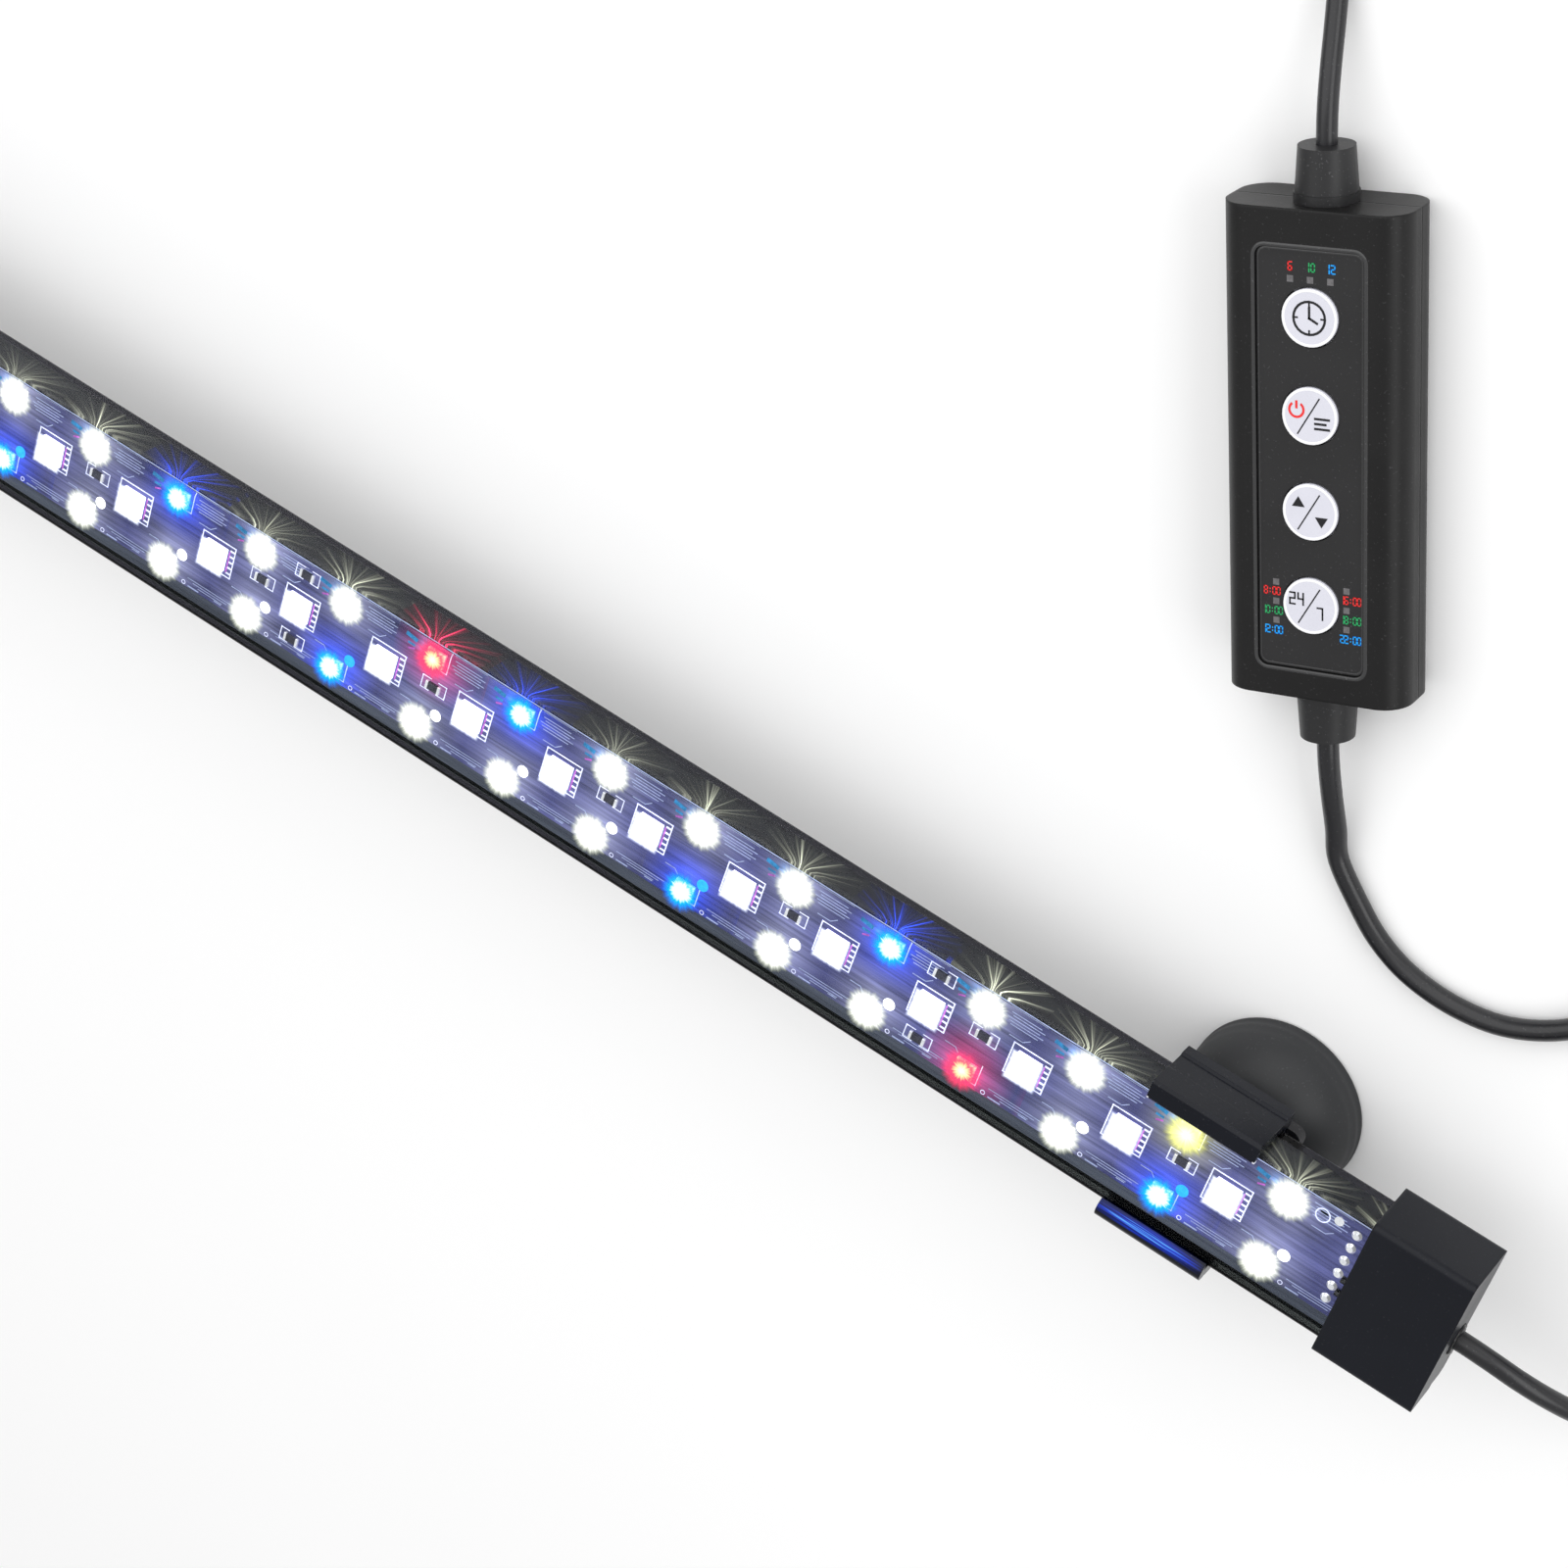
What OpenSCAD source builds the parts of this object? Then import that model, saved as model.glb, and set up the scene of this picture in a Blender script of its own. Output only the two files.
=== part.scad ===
// LED aquarium light: a sealed clear tube on two sliding suction-cup clips, with a push-button controller
// in its cord.
// It lies on its cups with the LEDs facing up (+Z). X runs along the tube towards the cable end, Y across it.

/* [Tube and board] */
// Distance between the columns of LEDs
led_pitch = 21; // [15:0.5:30]
// Number of LED columns
led_columns = 22; // [8:1:30]
// Distance between the rows of LEDs
row_spacing = 7.35; // [6:0.05:8]
// Width of the clear tube
tube_w = 27; // [26:0.5:32]
// Thickness of the clear tube
tube_t = 11; // [10:0.5:13]
// Wall of the clear tube
tube_wall = 1.4; // [1:0.1:2]
// Height of the tube's front face above the resting surface
front_z = 35; // [34:0.5:40]
// Height of the circuit board's face above the resting surface
board_z = 31; // [30:0.5:31.5]

/* [End caps] */
// Length of an end cap along the tube
cap_len = 20; // [16:1:26]
// Width of an end cap
cap_w = 30.4; // [30:0.2:34]
// Thickness of an end cap
cap_t = 15; // [14:0.5:18]
// How far the cap stands proud of the tube's front face
cap_proud = 1.5; // [1:0.1:2]
// Large radius on the cap's lower back corner
cap_corner = 6; // [3:0.5:6]

/* [Clips and suction cups] */
// Length of a clip along the tube
clip_len = 22; // [16:1:30]
// Width of a clip
clip_w = 33; // [32:0.5:36]
// Distance from the middle of the light to each clip
clip_x = 202; // [120:1:205]
// Radius of a suction cup
cup_r = 17; // [14:0.5:20]
// Offset of the cup and its holder from the middle of the clip
holder_shift = 3; // [0:0.5:3]

/* [Controller] */
// Length of the controller
box_l = 84; // [80:1:100]
// Width of the controller
box_w = 32.5; // [31:0.5:40]
// Thickness of the controller
box_t = 14.5; // [14:0.5:18]
// Distance between push buttons
button_pitch = 16.5; // [14:0.5:18]
// Diameter of a push button
button_d = 9.7; // [8:0.1:10]
// Travel of a push button
button_travel = 0.5; // [0.3:0.1:0.5]
// Angle of the controller on the surface, from the Y axis
box_angle = 23; // [0:1:45]

/* [Cords] */
// Diameter of the cord between the light and the controller
lamp_cord_d = 3.8; // [3.6:0.1:4]
// Diameter of the cord between the controller and the supply connector
supply_cord_d = 3.5; // [3.2:0.1:3.8]

/* [Hidden] */
$fn = 48;

gap = 0.3; // between pieces of different bodies
eps = 0.01;

// Tube, channel and board
last_led_x = led_pitch*(led_columns - 1)/2;
cap_x = last_led_x + 15.5; // inner end of each cap
end_x = cap_x + cap_len;
tube_end_x = cap_x + 10;
back_z = front_z - tube_t;
board_w = 21.4;
board_t = 1.4;
board_end_x = cap_x + 4;
channel_w = tube_w - 2*tube_wall - 0.4;
channel_wall = 1.1;
channel_bottom = back_z + tube_wall + 0.2;
channel_top = board_z + 1.4;
channel_end_x = cap_x + 6;
rail_w = 2;

// Columns that don't hold a white LED, counted from the plain end
upper_blue = [1, 5, 9, 13, 17];
upper_red = [4, 12];
upper_yellow = [20];
lower_blue = [3, 7, 11, 15, 20];
lower_red = [2, 18];
lower_yellow = [];
upper_other = concat(upper_blue, upper_red, upper_yellow);
lower_other = concat(lower_blue, lower_red, lower_yellow);
columns = [0 : led_columns - 1];
upper_white = [for (c = columns) if (len(search(c, upper_other)) == 0) c];
lower_white = [for (c = columns) if (len(search(c, lower_other)) == 0) c];

// Caps
cap_top = front_z + cap_proud;
cap_bottom = cap_top - cap_t;
hole_y = -3;
hole_z = 27;
wire_r = 0.7;
wire_y = [hole_y - 1.05, hole_y + 1.05]; // the two lead wires, side by side in the cord
joint_y = [-4.5, -1.5]; // the solder joints that they end at

// Clips and cups
claw_top = front_z + 1.5;
claw_reach = 1.2; // how far a claw hooks over the tube's front
clip_bottom = back_z - gap - 2.2;
holder_t = 2.7;
holder_bottom = clip_bottom - holder_t;
neck_r = 4;
head_r = 6;
cup_x = clip_x + holder_shift;

// Controller, in its own frame: x across, y along it towards the supply cord, z up
box_at = [167.2, 123.5, 0];
split_z = 7.2; // where the two shells meet
shell_wall = 1.6;
flank_r = 5;
panel_w = 19;
panel_l = 72.4;
panel_y = -0.6;
panel_t = 0.7;
recess_z = box_t - 1.2;
button_r = button_d/2;
button_y = [24.2, 24.2 - button_pitch, 24.2 - 2*button_pitch, 24.2 - 3*button_pitch];
flange_r = 5.4;
under_skin_z = recess_z - 1.2; // inner face of the front shell
flange_bottom = under_skin_z - 0.9;
pcb_z = 6.6;
pcb_top = pcb_z + 1.6;
window_at = [[-3.5, 30.4], [0, 30.4], [3.5, 30.4],
    [-6.3, -21.9], [-6.3, -25.3], [-6.3, -28.7], [6.3, -21.9], [6.3, -25.3], [6.3, -28.7]];
window_w = 1.1;
screw_at = [[-12.2, 36.5], [12.2, 36.5], [-12.2, -36.5], [12.2, -36.5]];
screw_r = 1.05;
boss_r = 2.2;
boss_z = 4.2; // lower end of the bosses that the screws bite into
screw_top = 9;
relief_len = 9;
relief_wide = 5.4;
relief_narrow = 4.7;

// Routes of the cords, along their centres. Each coil has two layers, wound inwards below and outwards above.
lamp_r = lamp_cord_d/2;
supply_r = supply_cord_d/2;
lamp_coil_at = [290, 62];
lamp_coil_r = 21;
lamp_coil_turns = 3; // side by side, in each of the two layers
supply_coil_at = [146.3, 230.9];
supply_coil_r = 19.25;
supply_coil_turns = 2;
connector_at = [198, 238.7, 5.5];
function box_point(y, z) = [box_at.x - y*sin(box_angle), box_at.y + y*cos(box_angle), z];
lamp_out_route = [[end_x - 2.5, hole_y, hole_z], [258, -3, 27], [263, -3.4, 26.7], [268.5, -4.6, 25.5],
    [274, -6.4, 23], [279.5, -8.7, 19], [284.8, -11, 13.6], [290, -12.9, 8.2], [295.3, -14, 4.2],
    [301, -14.3, 2.3], [307.2, -13.1, 1.9], [312.5, -9.5, 1.9], [316.1, -4.2, 1.9], [317.3, 2, 1.9],
    [317.3, 10, 1.9], [317.2, 20, 1.9], [317, 32, 1.9], [316.8, 46, 1.9], [316.7, 62, 1.9]];
lamp_return_route = [[268.4, 77.7, 5.7], [264.9, 72.8, 5.4], [261.3, 68, 4.4], [257.8, 63.1, 3.2],
    [254.3, 58.3, 2.2], [250.4, 52.8, 1.9], [245.6, 47.2, 1.9], [240, 43, 1.9], [234.1, 40.3, 1.9],
    [227.7, 39.1, 1.9], [221.3, 39.1, 1.9], [214.9, 40.3, 1.9], [208.8, 43, 1.9], [203.4, 47, 2],
    box_point(-76.5, 2.6), box_point(-70, 3.8), box_point(-63, 5.6), box_point(-56, 6.9), box_point(-50, 7.2),
    box_point(-45, 7.2)];
supply_route = [box_point(45, 7.2), box_point(51, 7.2), box_point(57, 6.8), box_point(63, 5.6),
    box_point(69, 4), box_point(75, 2.6), box_point(81, 1.9), box_point(88, 1.75), box_point(97, 1.75),
    box_point(107, 1.75)];
supply_tail_route = [[158, 250.4, 5.25], [163.2, 247.3, 4.9], [168.6, 244.5, 4.3], [174.3, 242.2, 3.9],
    [180.2, 240.5, 4.1], [186.3, 239.3, 4.8], [192.4, 238.8, 5.4], [198, 238.7, 5.5], [202, 238.7, 5.5]];

// Outlines and solids used by several pieces

module rounded(w, l, r) {
    // flat rectangle about the origin, its corners true arcs
    square([w - 2*r, l], center = true);
    square([w, l - 2*r], center = true);
    for (x = [-1, 1], y = [-1, 1])
        translate([x*(w/2 - r), y*(l/2 - r)]) circle(r);
}

module along_x(x0, x1) {
    // extrudes an outline drawn in Y and Z from x0 to x1
    translate([x0, 0, 0]) rotate([90, 0, 90]) linear_extrude(x1 - x0) children();
}

module block(x, y, z) {
    // a box from three [low, high] pairs
    translate([x[0], y[0], z[0]]) cube([x[1] - x[0], y[1] - y[0], z[1] - z[0]]);
}

module on_controller() {
    translate(box_at) rotate([0, 0, box_angle]) children();
}

function column_x(c) = led_pitch*c - last_led_x;

// A cord's tube: a ring of points round each route point, joined by faces
function unit(v) = v/norm(v);
function heading(p, i) = unit(p[min(i + 1, len(p) - 1)] - p[max(i - 1, 0)]);
function ring(c, t, r, sides) =
    let (a = unit(cross(t, [0, 0, 1])), b = cross(a, t))
    [for (k = [0 : sides - 1]) c + r*(cos(360*k/sides)*a + sin(360*k/sides)*b)];

module cord_tube(route, r, sides = 8) {
    n = len(route);
    points = [for (i = [0 : n - 1]) each ring(route[i], heading(route, i), r, sides)];
    sleeve = [for (i = [0 : n - 2], k = [0 : sides - 1])
        let (a = i*sides + k, b = i*sides + (k + 1)%sides)
        each [[a, b, a + sides], [b, b + sides, a + sides]]];
    first = [[for (k = [0 : sides - 1]) sides - 1 - k]];
    last = [[for (k = [0 : sides - 1]) (n - 1)*sides + k]];
    polyhedron(points, concat(sleeve, first, last));
}

module cord_coil(at, mean_r, turns, d) {
    w = (turns + 1)*d;
    translate(at) rotate_extrude() translate([mean_r - w/2, 0]) square([w, 2*d]);
}

module coil_ties(at, mean_r, turns, d, angles) {
    w = (turns + 1)*d + 0.4;
    for (a = angles)
        translate(at) rotate([0, 0, a]) translate([mean_r, 0, 0])
            difference() {
                translate([-w/2 - 0.8, -2, 0]) cube([w + 1.6, 4, 2*d + 1]);
                translate([-w/2, -3, -1]) cube([w, 6, 2*d + 1.2]);
            }
}

// The sealed light

module lens_tube() {
    color([0.85, 0.92, 0.95, 0.3])
    along_x(-tube_end_x, tube_end_x)
        translate([0, back_z + tube_t/2]) difference() {
            rounded(tube_w, tube_t, 1.6);
            rounded(tube_w - 2*tube_wall, tube_t - 2*tube_wall, 0.4);
        }
}

module heat_sink_channel() {
    color([0.1, 0.1, 0.12])
    difference() {
        block([-channel_end_x, channel_end_x], [-channel_w/2, channel_w/2], [channel_bottom, channel_top]);
        // room for the board, then the hollow under it between the two rails
        block([-channel_end_x - 1, channel_end_x + 1],
            [channel_wall - channel_w/2, channel_w/2 - channel_wall],
            [board_z - board_t, channel_top + 1]);
        block([-channel_end_x - 1, channel_end_x + 1],
            [channel_wall + rail_w - channel_w/2, channel_w/2 - channel_wall - rail_w],
            [channel_bottom + channel_wall, board_z]);
    }
}

module led_board() {
    color([0.06, 0.07, 0.14])
    difference() {
        block([-board_end_x, board_end_x], [-board_w/2, board_w/2], [board_z - board_t, board_z]);
        // the locating hole near each end
        for (s = [-1, 1])
            translate([s*(last_led_x + 6.2), s*7.4, board_z - 2]) cylinder(r = 1, h = 3);
    }
}

module small_led(x, y) {
    translate([x, y, board_z]) {
        block([-2, 2], [-1.6, 1.6], [0, 0.7]);
        translate([0, 0, 0.7]) cylinder(r = 1.3, h = 0.3);
    }
}

module led_set(upper, lower) {
    for (c = upper) small_led(column_x(c), row_spacing);
    for (c = lower) small_led(column_x(c), -row_spacing);
}

module white_leds() { color("white") led_set(upper_white, lower_white); }
module blue_leds() { color("deepskyblue") led_set(upper_blue, lower_blue); }
module red_leds() { color("red") led_set(upper_red, lower_red); }
module yellow_leds() { color("gold") led_set(upper_yellow, lower_yellow); }

module square_leds() {
    color("whitesmoke")
    for (c = [0 : led_columns - 2])
        translate([column_x(c) + led_pitch/2, 0, board_z]) difference() {
            block([-2.5, 2.5], [-2.5, 2.5], [0, 1.5]);
            translate([0, 0, 1.2]) cylinder(r = 2, h = 1);
        }
}

module chip_resistors() {
    // one between the rows at every second column, and a pair in line with the outer rows at every seventh
    color([0.15, 0.15, 0.17])
    translate([0, 0, board_z]) {
        for (c = [0 : 2 : led_columns - 2])
            translate([column_x(c) + 1, 1, 0]) block([-1.6, 1.6], [-0.8, 0.8], [0, 0.55]);
        for (c = [3 : 7 : led_columns - 2], s = [-1, 1])
            translate([column_x(c) + led_pitch/2, 7.5*s, 0]) block([-1.6, 1.6], [-0.8, 0.8], [0, 0.55]);
    }
}

module solder_pads() {
    // the row of joints that the lead wires are soldered to, and one round pad
    color("silver") {
        for (i = [-2.5 : 1 : 2.5])
            translate([cap_x - 2.5, i*3, board_z]) cylinder(r1 = 1, r2 = 0.6, h = 0.5);
        translate([last_led_x + 9.2, 8.2, board_z]) cylinder(r = 0.9, h = 0.15);
    }
}

module lead_wires() {
    // two insulated wires from the cord, through the potting and up over the board's end to their joints
    color([0.1, 0.1, 0.1])
    for (i = [0, 1])
        cord_tube([[end_x - 2.5, wire_y[i], hole_z], [tube_end_x + 1, wire_y[i], hole_z],
            [tube_end_x - 0.5, wire_y[i], hole_z + 0.2], [tube_end_x - 2.5, wire_y[i], hole_z + 2.4],
            [tube_end_x - 4, wire_y[i], hole_z + 4.4], [tube_end_x - 5.5, wire_y[i], board_z + 1],
            [tube_end_x - 8, joint_y[i], board_z + 0.85], [cap_x - 1.4, joint_y[i], board_z + 0.8]], wire_r);
}

module cap_outline() {
    // in Y and Z: one large corner at the lower back, small radii elsewhere
    translate([-cap_w/2, cap_bottom]) {
        small = 1.2;
        translate([small, small]) square([cap_w - 2*small, cap_t - 2*small]);
        translate([cap_corner, 0]) square([cap_w - cap_corner - small, small]);
        translate([small, cap_t - small]) square([cap_w - 2*small, small]);
        translate([0, cap_corner]) square([small, cap_t - cap_corner - small]);
        translate([cap_w - small, small]) square([small, cap_t - 2*small]);
        for (p = [[small, cap_t - small], [cap_w - small, cap_t - small], [cap_w - small, small]])
            translate(p) circle(small);
    }
}

module cap_profile() {
    difference() {
        cap_outline();
        // cut the square corner back to the large radius
        translate([-cap_w/2, cap_bottom]) difference() {
            translate([-1, -1]) square(cap_corner + 1);
            translate([cap_corner, cap_corner]) circle(cap_corner);
        }
    }
}

module end_cap(cord_hole) {
    seal = 0.2; // thickness of the seal round the tube's end
    difference() {
        along_x(cap_x, end_x) cap_profile();
        along_x(cap_x - 1, tube_end_x) translate([0, back_z + tube_t/2])
            rounded(tube_w + 2*seal, tube_t + 2*seal, 1.6 + seal);
        // wiring space behind the tube's end
        block([tube_end_x - eps, end_x - 3], [-10, 10], [back_z + 1.5, front_z - 1.5]);
        if (cord_hole)
            translate([end_x - 4, hole_y, hole_z]) rotate([0, 90, 0]) cylinder(r = 2.9, h = 5);
    }
}

module cable_end_cap() { color([0.12, 0.13, 0.16]) end_cap(true); }
module plain_end_cap() { color([0.12, 0.13, 0.16]) mirror([1, 0, 0]) end_cap(false); }

module end_seal() {
    along_x(cap_x + 1, tube_end_x)
        translate([0, back_z + tube_t/2]) difference() {
            rounded(tube_w + 0.4, tube_t + 0.4, 1.8);
            rounded(tube_w, tube_t, 1.6);
        }
}

module cable_end_seal() { color("dimgray") end_seal(); }
module plain_end_seal() { color("dimgray") mirror([1, 0, 0]) end_seal(); }

module potting_block() {
    // resin that fills the wiring space round the two wires
    color([0.08, 0.08, 0.08])
    difference() {
        block([tube_end_x, end_x - 3], [-10, 10], [back_z + 1.5, front_z - 1.5]);
        for (y = wire_y)
            translate([tube_end_x - 1, y, hole_z]) rotate([0, 90, 0]) cylinder(r = wire_r, h = cap_len);
    }
}

module cable_grommet() {
    color([0.05, 0.05, 0.06])
    difference() {
        translate([end_x - 3, hole_y, hole_z]) rotate([0, 90, 0]) cylinder(r = 2.9, h = 3);
        translate([end_x - 2.5, hole_y, hole_z]) rotate([0, 90, 0]) cylinder(r = lamp_r, h = 3);
        for (y = wire_y)
            translate([end_x - 4, y, hole_z]) rotate([0, 90, 0]) cylinder(r = wire_r, h = 2);
    }
}

// Clips and suction cups, drawn at the cable end and turned half round for the plain end

module clip() {
    claw_in = tube_w/2 - claw_reach;
    round_r = 1.1;
    mid_z = (claw_top + clip_bottom)/2;
    color([0.13, 0.14, 0.17])
    along_x(clip_x - clip_len/2, clip_x + clip_len/2)
        difference() {
            translate([0, mid_z]) rounded(clip_w, claw_top - clip_bottom, round_r);
            translate([-tube_w/2 - gap, back_z - gap]) square([tube_w + 2*gap, tube_t + 2*gap]);
            translate([-claw_in, front_z]) square([2*claw_in, 3]);
        }
}

module cup_holder() {
    color([0.1, 0.1, 0.12])
    translate([cup_x, 0, holder_bottom]) difference() {
        linear_extrude(holder_t) rounded(clip_len, 24, 2);
        translate([0, 0, -1]) cylinder(r = neck_r + gap, h = 4);
        translate([0, 0, 1.2]) cylinder(r = head_r + gap, h = 3);
    }
}

module suction_cup() {
    neck_base = 14.5;
    color([0.16, 0.16, 0.17])
    translate([cup_x, 0, 0]) difference() {
        union() {
            // dome: a quarter ellipse turned about the axis, standing on a thin lip
            rotate_extrude() translate([0, 1])
                polygon(concat([[0, 0]], [for (a = [0 : 6 : 90]) [cup_r*cos(a), neck_base*sin(a)]]));
            cylinder(r = cup_r, h = 1);
            cylinder(r = neck_r, h = holder_bottom + 1.6);
            translate([0, 0, holder_bottom + 1.4]) cylinder(r = head_r, h = 1);
        }
        // shallow hollow that holds the vacuum
        translate([0, 0, -eps]) cylinder(r1 = cup_r - 1.2, r2 = 6, h = 3.4);
    }
}

module turned_over() {
    rotate([0, 0, 180]) children();
}

module right_clip() { clip(); }
module right_cup_holder() { cup_holder(); }
module right_suction_cup() { suction_cup(); }
module left_clip() { turned_over() clip(); }
module left_cup_holder() { turned_over() cup_holder(); }
module left_suction_cup() { turned_over() suction_cup(); }

// Controller

module box_section(grow = 0) {
    translate([0, box_t/2]) rounded(box_w + 2*grow, box_t + 2*grow, flank_r + grow);
}

module box_hollow() {
    inner_l = box_l - 2*shell_wall;
    translate([0, inner_l/2, 0]) rotate([90, 0, 0]) linear_extrude(inner_l) difference() {
        box_section(-shell_wall);
        translate([-panel_w/2 - 2, under_skin_z]) square([panel_w + 4, 5]);
    }
}

module box_solid() {
    translate([0, box_l/2, 0]) rotate([90, 0, 0]) linear_extrude(box_l) box_section();
}

module relief_holes() {
    for (s = [-1, 1])
        translate([0, s*(box_l/2 - shell_wall/2), split_z]) rotate([90, 0, 0])
            cylinder(r = 4.2, h = shell_wall + 1, center = true);
}

module controller_front_shell() {
    color([0.14, 0.14, 0.15])
    on_controller() difference() {
        union() {
            difference() {
                box_solid();
                box_hollow();
                translate([-box_w, -box_l, -1]) cube([2*box_w, 2*box_l, split_z + 1]);
            }
            for (p = screw_at)
                translate([p[0], p[1], boss_z]) cylinder(r = boss_r, h = box_t - shell_wall + 0.2 - boss_z);
        }
        for (p = screw_at)
            translate([p[0], p[1], boss_z - 1]) cylinder(r = screw_r + 0.05, h = screw_top + 1.4 - boss_z);
        translate([0, panel_y, recess_z]) linear_extrude(5) rounded(panel_w, panel_l, 1.7);
        for (y = button_y)
            translate([0, y, 5]) cylinder(r = button_r + gap, h = 12);
        for (w = window_at)
            translate([w[0], w[1], 11]) cube([window_w, window_w, 6], center = true);
        relief_holes();
    }
}

module controller_back_shell() {
    color([0.14, 0.14, 0.15])
    on_controller() {
        difference() {
            box_solid();
            box_hollow();
            translate([-box_w, -box_l, split_z]) cube([2*box_w, 2*box_l, 20]);
            for (p = screw_at) {
                translate([p[0], p[1], -1]) cylinder(r = screw_r + 0.25, h = 5);
                translate([p[0], p[1], -1]) cylinder(r = 2.1, h = 1.8);
                // room for the boss above
                translate([p[0], p[1], boss_z - 0.2]) cylinder(r = boss_r + 0.2, h = 5);
            }
            relief_holes();
        }
        // posts that hold the circuit board
        for (x = [-8, 8], y = [-30, 30])
            translate([x, y, shell_wall - eps]) cylinder(r = 1.5, h = pcb_z - shell_wall + eps);
    }
}

module control_panel() {
    color([0.23, 0.23, 0.24])
    on_controller() difference() {
        translate([0, panel_y, recess_z]) linear_extrude(panel_t) rounded(panel_w - 0.2, panel_l - 0.2, 1.6);
        for (y = button_y)
            translate([0, y, 5]) cylinder(r = button_r + gap, h = 12);
        for (w = window_at)
            translate([w[0], w[1], 13]) cube([window_w, window_w, 6], center = true);
    }
}

module push_button(i) {
    // a disc that shows above the panel, with a hidden flange that keeps it in
    color("ghostwhite")
    on_controller() translate([0, button_y[i], 0]) {
        translate([0, 0, flange_bottom]) cylinder(r = flange_r, h = 0.7);
        translate([0, 0, flange_bottom + 0.7]) cylinder(r = button_r, h = box_t - 0.5 - flange_bottom - 0.7);
        translate([0, 0, box_t - 0.5]) cylinder(r1 = button_r, r2 = button_r - 0.4, h = 0.4);
    }
}

module timer_button() { push_button(0); }
module power_button() { push_button(1); }
module level_button() { push_button(2); }
module day_button() { push_button(3); }

module controller_board() {
    color("darkgreen")
    on_controller() difference() {
        translate([-12, -36, pcb_z]) cube([24, 72, 1.6]);
        for (s = [-1, 1], x = [-12, 12])
            translate([x, s*36.5, pcb_z - 1]) cylinder(r = 2.6, h = 4);
    }
}

module tact_switches() {
    stem_top = flange_bottom - button_travel - 0.1;
    color("gainsboro")
    on_controller() for (y = button_y) {
        translate([-3, y - 3, pcb_top]) cube([6, 6, 1.6]);
        translate([0, y, pcb_top]) cylinder(r = 1.7, h = stem_top - pcb_top);
    }
}

module control_chip() {
    color([0.1, 0.1, 0.1])
    on_controller() {
        translate([-10, -3.4, pcb_top]) cube([4, 5, 1.5]);
        // its legs along both long sides
        for (i = [0 : 3], x = [-10.8, -6])
            translate([x, -2.7 + 1.27*i, pcb_top]) cube([0.8, 0.4, 0.3]);
    }
}

module driver_parts() {
    color("dimgray")
    on_controller() {
        translate([8.5, 0, pcb_top]) cylinder(r = 2, h = 2.6); // capacitor
        translate([6.4, -14, pcb_top]) cube([4.4, 4.4, 2.2]); // coil
        translate([-10.4, 13, pcb_top]) cube([3, 6, 1.8]); // supply transistor
        translate([-10, -12, pcb_top]) cube([1.6, 3.2, 0.6]);
    }
}

module controller_leads() {
    // a pair of wires from the end of each cord to the board
    color([0.1, 0.1, 0.1])
    on_controller() for (s = [-1, 1], x = [-0.8, 0.8])
        cord_tube([[x, s*44.6, 7.2], [x, s*41, 7.2], [1.5*x, s*39, 7.9], [2*x, s*36.8, 8.9],
            [2*x, s*33, 8.9]], 0.55);
}

module indicator_leds() {
    color("white")
    on_controller() for (w = window_at)
        translate([w[0] - 0.5, w[1] - 0.5, pcb_top]) cube([1, 1, 0.8]);
}

module indicator_windows() {
    // light guides from the small LEDs up to the panel's face
    color([0.5, 0.5, 0.5])
    on_controller() for (w = window_at)
        translate([w[0] - window_w/2, w[1] - window_w/2, pcb_top + 0.8])
            cube([window_w, window_w, recess_z + panel_t - pcb_top - 0.8]);
}

module controller_screws() {
    color("silver")
    on_controller() for (p = screw_at)
        translate([p[0], p[1], 0.2]) difference() {
            union() {
                cylinder(r = 2, h = 0.6);
                cylinder(r = screw_r, h = screw_top - 0.2);
            }
            translate([0, 0, -0.5]) cylinder(r = 0.8, h = 0.9, $fn = 6);
        }
}

module relief() {
    // tapered sleeve along +Y from the controller's end, with a neck through the shells
    rotate([-90, 0, 0]) difference() {
        union() {
            translate([0, 0, -shell_wall]) cylinder(r = 4.2, h = shell_wall + 1);
            cylinder(r = relief_wide, h = 1.6);
            translate([0, 0, 1.6]) cylinder(r1 = relief_wide - 0.2, r2 = relief_narrow, h = relief_len - 1.6);
        }
        children();
    }
}

module lamp_side_relief() {
    color([0.1, 0.1, 0.11])
    on_controller() mirror([0, 1, 0]) translate([0, box_l/2, split_z])
        relief() translate([0, 0, -shell_wall - 1]) cylinder(r = lamp_r, h = 20);
}

module supply_side_relief() {
    color([0.1, 0.1, 0.11])
    on_controller() translate([0, box_l/2, split_z])
        relief() translate([0, 0, -shell_wall - 1]) cylinder(r = supply_r, h = 20);
}

// Cords, with what is on them

module lamp_cord_out() { color([0.13, 0.13, 0.15]) cord_tube(lamp_out_route, lamp_r); }

module lamp_cord_coil() {
    color([0.13, 0.13, 0.15])
    cord_coil(lamp_coil_at, lamp_coil_r, lamp_coil_turns, lamp_cord_d);
}

module lamp_cord_return() { color([0.13, 0.13, 0.15]) cord_tube(lamp_return_route, lamp_r); }

module lamp_coil_ties() {
    color([0.05, 0.05, 0.05]) coil_ties(lamp_coil_at, lamp_coil_r, lamp_coil_turns, lamp_cord_d, [80, 260]);
}

module supply_cord_run() { color([0.13, 0.13, 0.15]) cord_tube(supply_route, supply_r); }

module supply_cord_coil() {
    color([0.13, 0.13, 0.15]) cord_coil(supply_coil_at, supply_coil_r, supply_coil_turns, supply_cord_d);
}

module supply_cord_tail() { color([0.13, 0.13, 0.15]) cord_tube(supply_tail_route, supply_r); }

module supply_coil_ties() {
    color([0.05, 0.05, 0.05])
    coil_ties(supply_coil_at, supply_coil_r, supply_coil_turns, supply_cord_d, [120, 300]);
}

module on_connector() {
    translate(connector_at) rotate([0, 90, 0]) children();
}

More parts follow.
